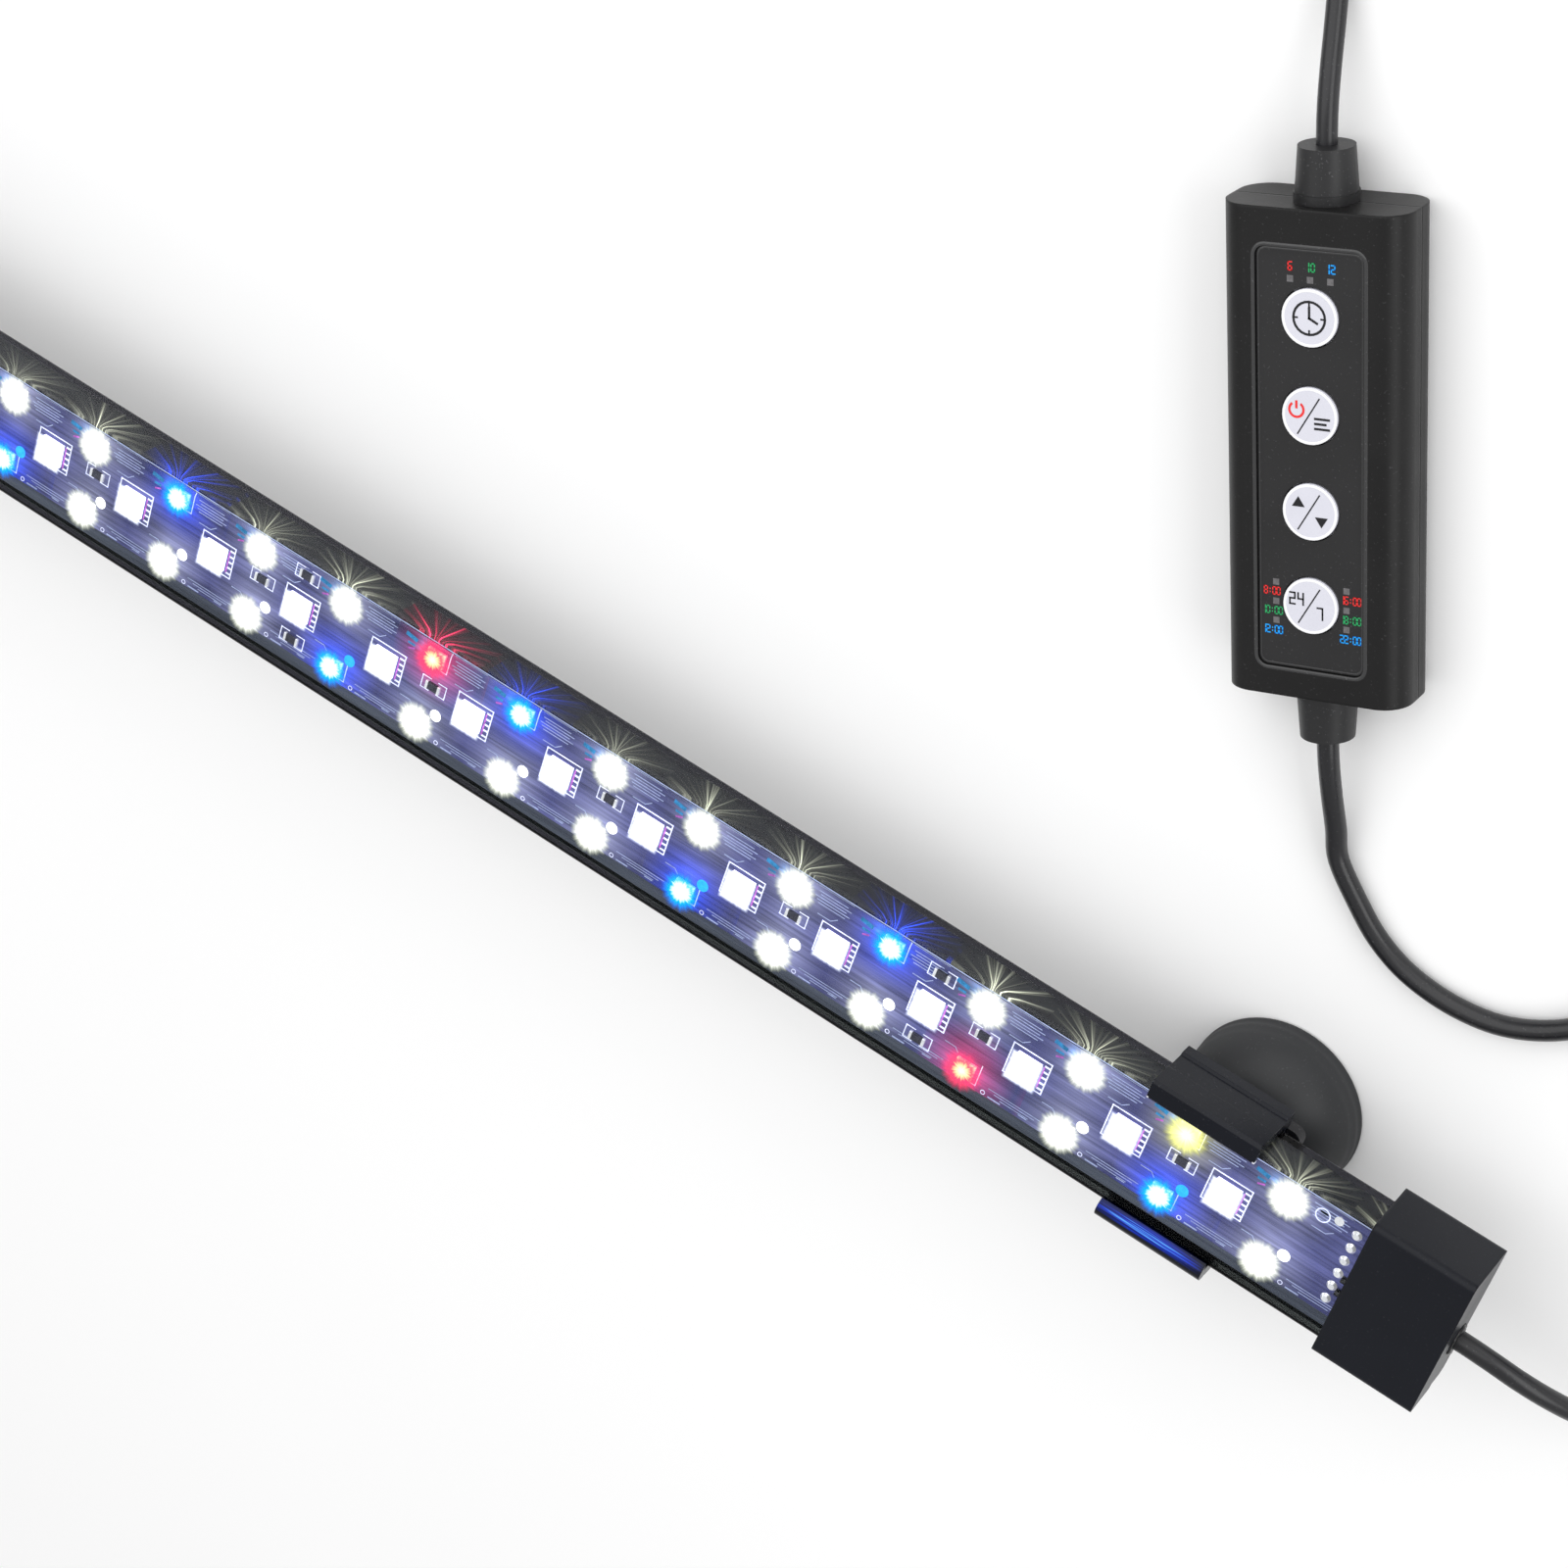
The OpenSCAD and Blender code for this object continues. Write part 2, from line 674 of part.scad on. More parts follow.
module connector_body() {
    // moulded body of the supply socket: tapered neck, round barrel and two grip rings
    color([0.12, 0.12, 0.13])
    on_connector() difference() {
        union() {
            cylinder(r1 = 2.7, r2 = 3.6, h = 10);
            translate([0, 0, 10]) cylinder(r1 = 3.6, r2 = 5, h = 2);
            translate([0, 0, 12]) cylinder(r = 5, h = 22);
            for (z = [15, 19]) translate([0, 0, z]) cylinder(r = 5.5, h = 2);
        }
        translate([0, 0, -1]) cylinder(r = supply_r, h = 5);
        translate([0, 0, 24.5]) cylinder(r = 3.1, h = 10);
    }
}

module connector_sleeve() {
    color("silver")
    on_connector() translate([0, 0, 24.5]) difference() {
        cylinder(r = 3.1, h = 9.2);
        translate([0, 0, 0.4]) cylinder(r = 2.8, h = 9);
    }
}

module connector_pin() {
    color("gold")
    on_connector() translate([0, 0, 24.9]) cylinder(r = 1.05, h = 8);
}

lens_tube();
heat_sink_channel();
led_board();
white_leds();
blue_leds();
red_leds();
yellow_leds();
square_leds();
chip_resistors();
solder_pads();
lead_wires();
cable_end_cap();
plain_end_cap();
cable_end_seal();
plain_end_seal();
potting_block();
cable_grommet();
right_clip();
right_cup_holder();
right_suction_cup();
left_clip();
left_cup_holder();
left_suction_cup();
controller_front_shell();
controller_back_shell();
control_panel();
timer_button();
power_button();
level_button();
day_button();
controller_board();
tact_switches();
control_chip();
driver_parts();
controller_leads();
indicator_leds();
indicator_windows();
controller_screws();
lamp_side_relief();
supply_side_relief();
lamp_cord_out();
lamp_cord_coil();
lamp_cord_return();
lamp_coil_ties();
supply_cord_run();
supply_cord_coil();
supply_cord_tail();
supply_coil_ties();
connector_body();
connector_sleeve();
connector_pin();
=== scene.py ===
# %% [markdown]
# # An LED aquarium light
# This lesson dresses the measured parts of an underwater light in finishes and small details.
# The parts come from the CAD model, already in place and in metres. They are never moved here.
# The light lies on its two suction cups with the LEDs facing up, and its controller lies beside it.

# %% Load the measured parts
import math

import bpy
from mathutils import Matrix, Vector


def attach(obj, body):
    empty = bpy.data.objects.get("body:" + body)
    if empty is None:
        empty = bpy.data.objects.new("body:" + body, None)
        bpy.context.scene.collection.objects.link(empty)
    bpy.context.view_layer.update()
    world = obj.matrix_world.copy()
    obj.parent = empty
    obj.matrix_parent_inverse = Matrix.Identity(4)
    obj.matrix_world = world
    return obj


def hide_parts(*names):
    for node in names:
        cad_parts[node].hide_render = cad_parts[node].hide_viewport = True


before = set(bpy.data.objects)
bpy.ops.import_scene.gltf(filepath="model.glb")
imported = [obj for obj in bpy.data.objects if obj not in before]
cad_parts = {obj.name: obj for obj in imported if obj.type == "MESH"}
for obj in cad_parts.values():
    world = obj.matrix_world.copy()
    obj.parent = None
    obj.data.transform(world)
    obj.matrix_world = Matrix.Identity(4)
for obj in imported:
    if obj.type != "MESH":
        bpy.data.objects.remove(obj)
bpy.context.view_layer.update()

# %% [markdown]
# ## Millimetres
# The real object was measured in millimetres, and Blender works in metres.
# One small helper turns a point in millimetres into metres, so that every number below reads like a drawing.
# Another gives a point on a circle, which rings, discs, coils and rounded corners all need.

# %% Points in millimetres
MM = 0.001


def mm(x, y, z):
    return Vector((x, y, z))*MM


def on_circle(centre, radius, degrees):
    a = math.radians(degrees)
    return centre[0] + radius*math.cos(a), centre[1] + radius*math.sin(a)


print("one pitch of the LED columns:", mm(21, 0, 0))

# %% [markdown]
# ## The camera
# The light is looked at from above its cable end, with the camera rolled so that the bar runs downhill.
# A camera is placed by three directions: its right, its up and its backward axis, which become the columns
# of its rotation matrix. Typing angles would also work, but directions are easier to check one by one.

# %% Place the camera
camera_data = bpy.data.cameras.new("camera")
camera_data.lens = 85.5
camera_data.sensor_width = 36
camera_data.clip_start = 0.01
camera = bpy.data.objects.new("camera", camera_data)
bpy.context.scene.collection.objects.link(camera)
bpy.context.scene.camera = camera
camera_right = Vector((0.81011, 0.27963, -0.51529)).normalized()
camera_up = Vector((-0.50315, 0.78274, -0.36626)).normalized()
camera_back = camera_right.cross(camera_up)
turn = Matrix((camera_right, camera_up, camera_back)).transposed()
camera.matrix_world = Matrix.Translation(mm(307.2, 396.5, 549.3)) @ turn.to_4x4()
print("camera looks along", tuple(round(v, 2) for v in -camera_back))

# %% [markdown]
# ## Where the controller lies
# The controller was drawn about its own middle and then turned 23 degrees on the table.
# Its marks and its cords are easiest to place in that same frame, so one helper repeats the turn.

# %% From the controller's own frame to the table
BOX_AT = Vector((167.2, 123.5, 0))
BOX_TURN = math.radians(23)


def on_box(x, y, z):
    across = Vector((math.cos(BOX_TURN), math.sin(BOX_TURN), 0))
    along = Vector((-math.sin(BOX_TURN), math.cos(BOX_TURN), 0))
    return BOX_AT + x*across + y*along + Vector((0, 0, z))


def along_box(y, z):
    return tuple(on_box(0, y, z))


print("cord leaves the controller at", [round(v, 1) for v in along_box(51, 7.2)])

# %% [markdown]
# ## Smooth routes for the cords
# A cord has no corners. A Catmull-Rom curve passes through every given point and bends evenly between
# them, so a few points along the table are enough. Bezier handles would do it too, but each one would
# have to be set by hand.

# %% A smooth line through points
def smooth_line(points, steps=5):
    points = [Vector(p) for p in points]
    padded = [2*points[0] - points[1]] + points + [2*points[-1] - points[-2]]
    line = []
    for a, b, c, d in zip(padded, padded[1:], padded[2:], padded[3:]):
        for k in range(steps):
            t = k/steps
            line.append(0.5*(2*b + (c - a)*t + (2*a - 5*b + 4*c - d)*t*t + (3*b - a - 3*c + d)*t**3))
    return line + [points[-1]]


def line_length(line):
    return sum((b - a).length for a, b in zip(line, line[1:]))


print("test line of two legs:", round(line_length(smooth_line([(0, 0, 0), (10, 0, 0), (20, 5, 0)])), 2), "mm")

# %% [markdown]
# ## A coil in two layers
# Spare cord is wound inwards on the table, steps up one cord thickness, and is wound outwards again on top.
# The loop below walks round the coil in small steps and changes only the radius and the height.

# %% Points of a coil
def coil_line(centre, start, way, outer, inner, turns, thick, step_up=144, step=9):
    line = []
    spiral, low, high = 360*turns, thick/2, thick*1.5
    for k in range(0, 2*spiral + step_up + 1, step):
        if k <= spiral:
            r, z = outer + (inner - outer)*k/spiral, low
        elif k <= spiral + step_up:
            t = (k - spiral)/step_up
            r, z = inner, low + (high - low)*t*t*(3 - 2*t)
        else:
            r, z = inner + (outer - inner)*(k - spiral - step_up)/spiral, high
        line.append(Vector((*on_circle(centre, r, start + way*k), z)))
    return line


print("points in a coil of three turns:", len(coil_line((0, 0), 0, 1, 26.7, 15.3, 3, 3.8)))

# %% [markdown]
# ## The cord from the light to the controller
# It leaves the end cap level, drops to the table, is coiled, and comes back to the controller's lower end.
# The bends are never tighter than four thicknesses, because a real jacket would kink.

# %% Route of the lamp cord
LAMP_THICK, LAMP_COIL = 3.8, (290, 62)
lamp_out = [(253.5, -3, 27), (258, -3, 27), (263, -3.4, 26.7), (268.5, -4.6, 25.5), (274, -6.4, 23),
    (279.5, -8.7, 19), (284.8, -11, 13.6), (290, -12.9, 8.2), (295.3, -14, 4.2), (301, -14.3, 2.3),
    (307.2, -13.1, 1.9), (312.5, -9.5, 1.9), (316.1, -4.2, 1.9), (317.3, 2, 1.9), (317.3, 10, 1.9),
    (317.2, 20, 1.9), (317, 32, 1.9), (316.8, 46, 1.9), (316.7, 62, 1.9)]
lamp_back = [(268.4, 77.7, 5.7), (264.9, 72.8, 5.4), (261.3, 68, 4.4), (257.8, 63.1, 3.2), (254.3, 58.3, 2.2),
    (250.4, 52.8, 1.9), (245.6, 47.2, 1.9), (240, 43, 1.9), (234.1, 40.3, 1.9), (227.7, 39.1, 1.9),
    (221.3, 39.1, 1.9), (214.9, 40.3, 1.9), (208.8, 43, 1.9), (203.4, 47, 2), along_box(-76.5, 2.6),
    along_box(-70, 3.8), along_box(-63, 5.6), along_box(-56, 6.9), along_box(-50, 7.2), along_box(-45, 7.2)]
lamp_line = smooth_line(lamp_out)[:-1] + coil_line(LAMP_COIL, 0, 1, 26.7, 15.3, 3, LAMP_THICK)[:-1]
lamp_line += smooth_line(lamp_back)
print("lamp cord:", round(line_length(lamp_line)), "mm")

# %% [markdown]
# ## The cord from the controller to the supply
# It runs straight out of the controller's upper end, is coiled once it is clear, and ends in a round socket.

# %% Route of the supply cord
SUPPLY_THICK, SUPPLY_COIL = 3.5, (146.3, 230.9)
supply_out = [along_box(y, z) for y, z in [(45, 7.2), (51, 7.2), (57, 6.8), (63, 5.6), (69, 4), (75, 2.6),
    (81, 1.9), (88, 1.75), (97, 1.75), (107, 1.75)]]
supply_end = [(158, 250.4, 5.25), (163.2, 247.3, 4.9), (168.6, 244.5, 4.3), (174.3, 242.2, 3.9),
    (180.2, 240.5, 4.1), (186.3, 239.3, 4.8), (192.4, 238.8, 5.4), (198, 238.7, 5.5), (202, 238.7, 5.5)]
supply_line = smooth_line(supply_out)[:-1]
supply_line += coil_line(SUPPLY_COIL, 203, -1, 22.75, 15.75, 2, SUPPLY_THICK)[:-1] + smooth_line(supply_end)
print("supply cord:", round(line_length(supply_line)), "mm")

# %% [markdown]
# ## Turning a route into a cord
# A curve with a round bevel is a tube that follows its own line, which is exactly what a cord is.
# A mesh tube would need its rings turned by hand at every bend.
# The bevel is one unit deep and each point's radius scales it, which also keeps the curve's box tight.

# %% Make both cords
def cord_piece(name, line, thickness, nodes):
    curve = bpy.data.curves.new(name, "CURVE")
    curve.dimensions = "3D"
    spline = curve.splines.new("POLY")
    spline.points.add(len(line) - 1)
    for point, place in zip(spline.points, line):
        point.co = (*(place*MM), 1)
        point.radius = thickness*MM/2
    curve.bevel_depth = 1.0
    curve.bevel_resolution = 6
    curve.use_fill_caps = True
    cord = bpy.data.objects.new(name, curve)
    bpy.context.scene.collection.objects.link(cord)
    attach(cord, "light")
    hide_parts(*nodes)
    return cord


lamp_cord = cord_piece("lamp_cord", lamp_line, LAMP_THICK,
    ["lamp_cord_out", "lamp_cord_coil", "lamp_cord_return"])
supply_cord = cord_piece("supply_cord", supply_line, SUPPLY_THICK,
    ["supply_cord_run", "supply_cord_coil", "supply_cord_tail"])
print("cords:", lamp_cord.name, supply_cord.name)

# %% [markdown]
# ## Making a piece from points and faces
# Small details are built from lists of points and faces, which keeps every size in plain sight.
# The helper also says which body the piece moves with.

# %% Piece from a mesh
def piece(name, points, faces, body="light", smooth=False, nodes=()):
    mesh = bpy.data.meshes.new(name)
    mesh.from_pydata([Vector(p)*MM for p in points], [], faces)
    mesh.validate()
    mesh.polygons.foreach_set("use_smooth", [smooth]*len(mesh.polygons))
    made = bpy.data.objects.new(name, mesh)
    bpy.context.scene.collection.objects.link(made)
    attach(made, body)
    if nodes:
        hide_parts(*nodes)
    return made


def bevelled(made, width, segments=3, angle=30):
    bevel = made.modifiers.new("rounded edges", "BEVEL")
    bevel.width = width*MM
    bevel.segments = segments
    bevel.limit_method = "ANGLE"
    bevel.angle_limit = math.radians(angle)
    return made


print("piece() and bevelled() are ready")

# %% [markdown]
# ## Ties round the coils
# A soft band holds each coil in two places. It is a flat strap bent round the bundle, so it is drawn as a
# rounded rectangle of points, once for its inner face and once for its outer face, and given a width.

# %% Bend a band round a bundle
def strap_outline(half_w, top, r, grow):
    corners = [(half_w - r, r, -90), (half_w - r, top - r, 0), (r - half_w, top - r, 90),
        (r - half_w, r, 180)]
    return [on_circle((cx, cz), r + grow, start + 15*k) for cx, cz, start in corners for k in range(7)]


def strap_piece(name, centre, mean_r, turns, thick, angles, node):
    points, faces = [], []
    half_w = (turns + 1)*thick/2 + 0.25
    for angle in angles:
        out, side = (Vector((*on_circle((0, 0), 1, a), 0)) for a in (angle, angle + 90))
        base = Vector((*centre, 0)) + out*mean_r
        first = len(points)
        for grow, shift in [(0.05, -2), (0.65, -1.8), (0.65, 1.8), (0.05, 2)]:
            ring = strap_outline(half_w, 2*thick + 0.2, 1.7, grow)
            points += [base + out*u + side*shift + Vector((0, 0, max(0.02, v))) for u, v in ring]
        count = len(ring)
        for r in range(4):
            for k in range(count):
                a0, b0 = first + r*count + k, first + r*count + (k + 1)%count
                a1, b1 = first + (r + 1)%4*count + k, first + (r + 1)%4*count + (k + 1)%count
                faces.append((a0, b0, b1, a1))
    return piece(name, points, faces, smooth=True, nodes=[node])


lamp_ties = strap_piece("lamp_cord_bands", LAMP_COIL, 21, 3, LAMP_THICK, [80, 260], "lamp_coil_ties")
supply_ties = strap_piece("supply_cord_bands", SUPPLY_COIL, 19.25, 2, SUPPLY_THICK, [120, 300],
    "supply_coil_ties")
print("bands:", len(lamp_ties.data.polygons) + len(supply_ties.data.polygons), "faces")

tuple(mm(*along_box(51, 7.2)))

# %% [markdown]
# ## Wiring shader nodes
# Materials are node trees, and most of their nodes do plain arithmetic. With the Value class, ordinary signs
# build those nodes: writing a*b + c adds a multiply node and an add node, and links them.
# The short functions below it make finishes, groups, mixes, ramps and bumps in the same way.

# %% Helpers for node trees
class Value:
    def __init__(self, tree, socket):
        self.tree, self.socket = tree, socket

    def __add__(self, other):
        return calc("ADD", self, other)

    def __sub__(self, other):
        return calc("SUBTRACT", self, other)

    def __rsub__(self, other):
        return calc("SUBTRACT", other, self)

    def __mul__(self, other):
        return calc("MULTIPLY", self, other)

    def __truediv__(self, other):
        return calc("DIVIDE", self, other)

    def __rtruediv__(self, other):
        return calc("DIVIDE", other, self)

    def __pow__(self, other):
        return calc("POWER", self, other)

    def __rpow__(self, other):
        return calc("POWER", other, self)

    def __gt__(self, other):
        return calc("GREATER_THAN", self, other)

    def __lt__(self, other):
        return calc("LESS_THAN", self, other)

    def __abs__(self):
        return calc("ABSOLUTE", self)


def fill(inputs, values):
    for name, value in values.items():
        if isinstance(value, Value):
            value.tree.links.new(value.socket, inputs[name])
        else:
            inputs[name].default_value = value


def make(tree, kind, values, output=0, **settings):
    node = tree.nodes.new("ShaderNode" + kind)
    for name, setting in settings.items():
        setattr(node, name, setting)
    fill(node.inputs, values)
    return Value(tree, node.outputs[output])


def calc(operation, *values):
    tree = next(value.tree for value in values if isinstance(value, Value))
    return make(tree, "Math", dict(enumerate(values)), operation=operation)


def parts_of(tree, source):
    node = tree.nodes.new("ShaderNodeSeparateXYZ")
    fill(node.inputs, {0: make(tree, "TexCoord", {}, source)})
    return [Value(tree, socket) for socket in node.outputs]


def place_mm(tree):
    return [part*(1/MM) for part in parts_of(tree, "Object")]


def distance(a, b):
    return calc("SQRT", a*a + b*b)


def blend(factor, first, second):
    return make(factor.tree, "Mix", {0: factor, 6: first, 7: second}, 2, data_type="RGBA")


def scaled(colour, amount):
    return make(amount.tree, "VectorMath", {0: colour, "Scale": amount}, operation="SCALE")


def added(total, *colours):
    for colour in colours:
        total = make(total.tree, "VectorMath", {0: total, 1: colour}, operation="ADD")
    return total


def ramp(value, stops, interpolation="LINEAR"):
    node = value.tree.nodes.new("ShaderNodeValToRGB")
    marks = node.color_ramp.elements
    marks.remove(marks[1])
    marks[0].position, marks[0].color = stops[0][0], (*stops[0][1], 1)
    for position, colour in stops[1:]:
        marks.new(position).color = (*colour, 1)
    node.color_ramp.interpolation = interpolation
    fill(node.inputs, {0: value})
    return Value(value.tree, node.outputs[0])


def roughen(shader, height, depth_mm, strength=1.0, **more):
    bump = make(height.tree, "Bump", {"Height": height, "Distance": depth_mm*MM, "Strength": strength,
        **more})
    fill(shader.inputs, {"Normal": bump})


def stretched_noise(tree, along, across, detail=2.0):
    place = make(tree, "Mapping", {0: make(tree, "TexCoord", {}, "Object"),
        "Scale": (1000/along, 1000/across, 1000/across)})
    return make(tree, "TexNoise", {"Vector": place, "Scale": 1.0, "Detail": detail}, "Fac")


def new_finish(name, roughness=0.5, specular=0.5, **plain):
    finish = bpy.data.materials.new(name)
    finish.use_nodes = True
    shader = finish.node_tree.nodes["Principled BSDF"]
    fill(shader.inputs, {"Roughness": roughness, "Specular IOR Level": specular})
    fill(shader.inputs, {name.replace("_", " "): value for name, value in plain.items()})
    return finish, finish.node_tree, shader


def new_group(name, inputs, outputs):
    group = bpy.data.node_groups.new(name, "ShaderNodeTree")
    for socket, kind, value in inputs:
        group.interface.new_socket(socket, in_out="INPUT", socket_type=kind).default_value = value
    for socket, kind in outputs:
        group.interface.new_socket(socket, in_out="OUTPUT", socket_type=kind)
    given = {socket.name: Value(group, socket) for socket in group.nodes.new("NodeGroupInput").outputs}
    return group, given, group.nodes.new("NodeGroupOutput").inputs


def use_group(tree, group, **values):
    node = tree.nodes.new("ShaderNodeGroup")
    node.node_tree = group
    fill(node.inputs, {name.replace("_", " "): value for name, value in values.items()})
    return {socket.name: Value(tree, socket) for socket in node.outputs}


FLOAT, COLOUR = "NodeSocketFloat", "NodeSocketColor"
print("node helpers ready")

# %% [markdown]
# ## Moulded skin
# Nearly every dark piece here is moulded plastic or rubber. A real moulding is never one flat colour: it has
# a fine grain from the mould, and cloudy patches where it is a little shinier or duller.
# Two noise textures at different sizes give both. They are a group, so each material sets its own sizes.

# %% Group for moulded skin
moulded_skin, given, result = new_group("Moulded skin",
    [("Colour", COLOUR, (0.02, 0.02, 0.02, 1)), ("Grain mm", FLOAT, 0.3), ("Patch mm", FLOAT, 12.0),
     ("Shade change", FLOAT, 0.25), ("Smoothest", FLOAT, 0.35), ("Roughest", FLOAT, 0.55)],
    [("Colour", COLOUR), ("Roughness", FLOAT), ("Height", FLOAT)])


def round_noise(tree, size_mm, detail):
    place = make(tree, "TexCoord", {}, "Object")
    return make(tree, "TexNoise", {"Vector": place, "Scale": 1/MM/size_mm, "Detail": detail}, "Fac")


grain = round_noise(moulded_skin, given["Grain mm"], 3.0)
patch = round_noise(moulded_skin, given["Patch mm"], 4.0)
shade = patch + grain*0.4 - 0.7
lighter = shade*(given["Shade change"]*2.0) + 1.0
fill(result, {"Colour": make(moulded_skin, "HueSaturation", {"Color": given["Colour"], "Value": lighter}),
    "Roughness": patch*(given["Roughest"] - given["Smoothest"]) + given["Smoothest"], "Height": grain})
print("group made:", moulded_skin.name)

# %% [markdown]
# ## Handling marks
# A piece that has been wrapped, handled and wetted shows hair-fine rubs, all roughly one way, and a few
# specks of dust. Stretched noise, cut off sharply, gives broken thin lines; a second noise gives the specks.

# %% Group for handling marks
handling_marks, given, result = new_group("Handling marks",
    [("Stretch", FLOAT, 14.0), ("Amount", FLOAT, 0.5)], [("Rubs", FLOAT), ("Dust", FLOAT)])
x, y, z = place_mm(handling_marks)
squeezed = make(handling_marks, "CombineXYZ", {0: x/given["Stretch"], 1: y, 2: z})
rub = make(handling_marks, "TexNoise", {"Vector": squeezed, "Scale": 2.0, "Detail": 2.0}, "Fac")
speck = round_noise(handling_marks, 0.45, 1.0)
for name, noise, level, steepness in [("Rubs", rub, 0.6, 9.0), ("Dust", speck, 0.68, 14.0)]:
    clipped = calc("MINIMUM", calc("MAXIMUM", (noise - level)*steepness, 0.0), 1.0)
    fill(result, {name: clipped*given["Amount"]})
print("group made:", handling_marks.name)

# %% [markdown]
# ## One recipe for moulded pieces
# The skin sets the colour, the roughness and the bump. The marks make thin places shinier and lift the
# colour a little where dust lies. Values that are the same all over are typed on the shader itself.
# A moulded edge is never a knife edge, so a piece can ask for edges that are shaded as if rounded.

# %% Moulded finish
DUST_GREY = (0.25, 0.25, 0.26, 1)


def moulded(name, colour, smoothest, roughest, grain_mm=0.35, patch_mm=14.0, depth_mm=0.02, specular=0.4,
        change=0.25, marks=0.5, round_mm=0.0):
    finish, tree, shader = new_finish(name, specular=specular)
    skin = use_group(tree, moulded_skin, Colour=(*colour, 1), Grain_mm=grain_mm, Patch_mm=patch_mm,
        Shade_change=change, Smoothest=smoothest, Roughest=roughest)
    worn = use_group(tree, handling_marks, Amount=marks)
    fill(shader.inputs, {"Base Color": blend(worn["Dust"]*0.35, skin["Colour"], DUST_GREY),
        "Roughness": calc("MAXIMUM", skin["Roughness"] - worn["Rubs"]*0.12, 0.05)})
    edge = {"Normal": make(tree, "Bevel", {"Radius": round_mm*MM}, samples=8)} if round_mm else {}
    roughen(shader, skin["Height"], depth_mm, 0.6, **edge)
    return finish


def dress(finish, *names):
    for name in names:
        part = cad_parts[name]
        part.data.materials.clear()
        part.data.materials.append(finish)


print("moulded() and dress() ready")

# %% [markdown]
# ## The dark plastics and rubbers
# The caps are satin and slightly blue, the seals and wires are plainer, and the cord's jacket is smooth and
# shiny. Only the numbers differ, which is why one recipe serves them all.

# %% Finishes of the dark pieces
dress(moulded("cap_plastic", (0.0035, 0.0045, 0.0085), 0.30, 0.42, grain_mm=0.5, depth_mm=0.006,
    specular=0.24, marks=0.12, round_mm=0.9), "cable_end_cap", "plain_end_cap")
dress(moulded("holder_plastic", (0.008, 0.008, 0.010), 0.35, 0.5, specular=0.3),
    "right_cup_holder", "left_cup_holder")
dress(moulded("relief_rubber", (0.014, 0.014, 0.015), 0.38, 0.52, grain_mm=0.3, depth_mm=0.01),
    "lamp_side_relief", "supply_side_relief", "cable_grommet")
dress(moulded("seal_silicone", (0.03, 0.03, 0.033), 0.4, 0.6, grain_mm=0.8), "cable_end_seal",
    "plain_end_seal")
dress(moulded("potting_resin", (0.006, 0.006, 0.007), 0.12, 0.25, grain_mm=1.5), "potting_block")
dress(moulded("wire_insulation", (0.01, 0.01, 0.01), 0.25, 0.4), "lead_wires", "controller_leads")
jacket_finish = moulded("cord_jacket", (0.010, 0.010, 0.012), 0.24, 0.38, grain_mm=0.6, patch_mm=8,
    depth_mm=0.012,
    specular=0.5, marks=0.4)
band_finish = moulded("tie_band", (0.012, 0.012, 0.012), 0.5, 0.7, grain_mm=0.5, depth_mm=0.05)
for made, finish in [(lamp_cord, jacket_finish), (supply_cord, jacket_finish), (lamp_ties, band_finish),
        (supply_ties, band_finish)]:
    made.data.materials.append(finish)
print("dark finishes:", len(bpy.data.materials))

# %% [markdown]
# ## Sealant round the cord
# Where the cord leaves the cap, a ragged bead of black sealant closes the hole. It is a ring whose tube
# swells and shrinks as it goes round, from a few added waves, so that no two places are alike.

# %% Sealant bead
AROUND, SECTION = 48, 10
sealant_points, sealant_faces = [], []
for i in range(AROUND):
    a = math.tau*i/AROUND
    swell = 1 + 0.16*math.sin(3*a + 0.6) + 0.12*math.sin(7*a) + 0.10*math.sin(11*a + 2.1)
    for k in range(SECTION):
        b = math.tau*k/SECTION
        r = 2.55 + 0.62*swell*math.cos(b)
        sealant_points.append((256.05 + 0.45*swell*math.sin(b), -3 + r*math.cos(a), 27 + r*math.sin(a)))
        j, m = (i + 1)%AROUND, (k + 1)%SECTION
        sealant_faces.append((SECTION*i + k, SECTION*i + m, SECTION*j + m, SECTION*j + k))
sealant = piece("cord_sealant", sealant_points, sealant_faces, smooth=True)
sealant.data.materials.append(moulded("wet_sealant", (0.004, 0.004, 0.005), 0.15, 0.4, grain_mm=0.9,
    depth_mm=0.1))
print("sealant faces:", len(sealant_faces))

# %% [markdown]
# ## Where the LEDs stand
# Twenty-two columns, 21 mm apart, hold an LED above and an LED below the middle line. Most are white.
# The lists name the columns with another colour, counted from the plain end.

# %% Columns and colours
PITCH, LAST, ROW, BOARD = 21.0, 220.5, 7.35, 31.0
upper = {"blue": [1, 5, 9, 13, 17], "red": [4, 12], "yellow": [20]}
lower = {"blue": [3, 7, 11, 15, 20], "red": [2, 18], "yellow": []}


def column_x(c):
    return PITCH*c - LAST


def kind_of(c, row):
    return next((kind for kind in row if c in row[kind]), "white")


print("white above:", sum(kind_of(c, upper) == "white" for c in range(22)))

# %% [markdown]
# ## Light on the board
# A lit LED floods the board round it. Tracing real light from dozens of tiny lamps is slow and noisy, so the
# board glows by itself: each point looks up its distance to the nearest LED of a row and fades with it.
# Wrapping the X coordinate at the pitch turns one LED into a whole row. What is left of the light at the
# edge of a cell is taken off, so that a red cell fades out before its blue neighbour begins.

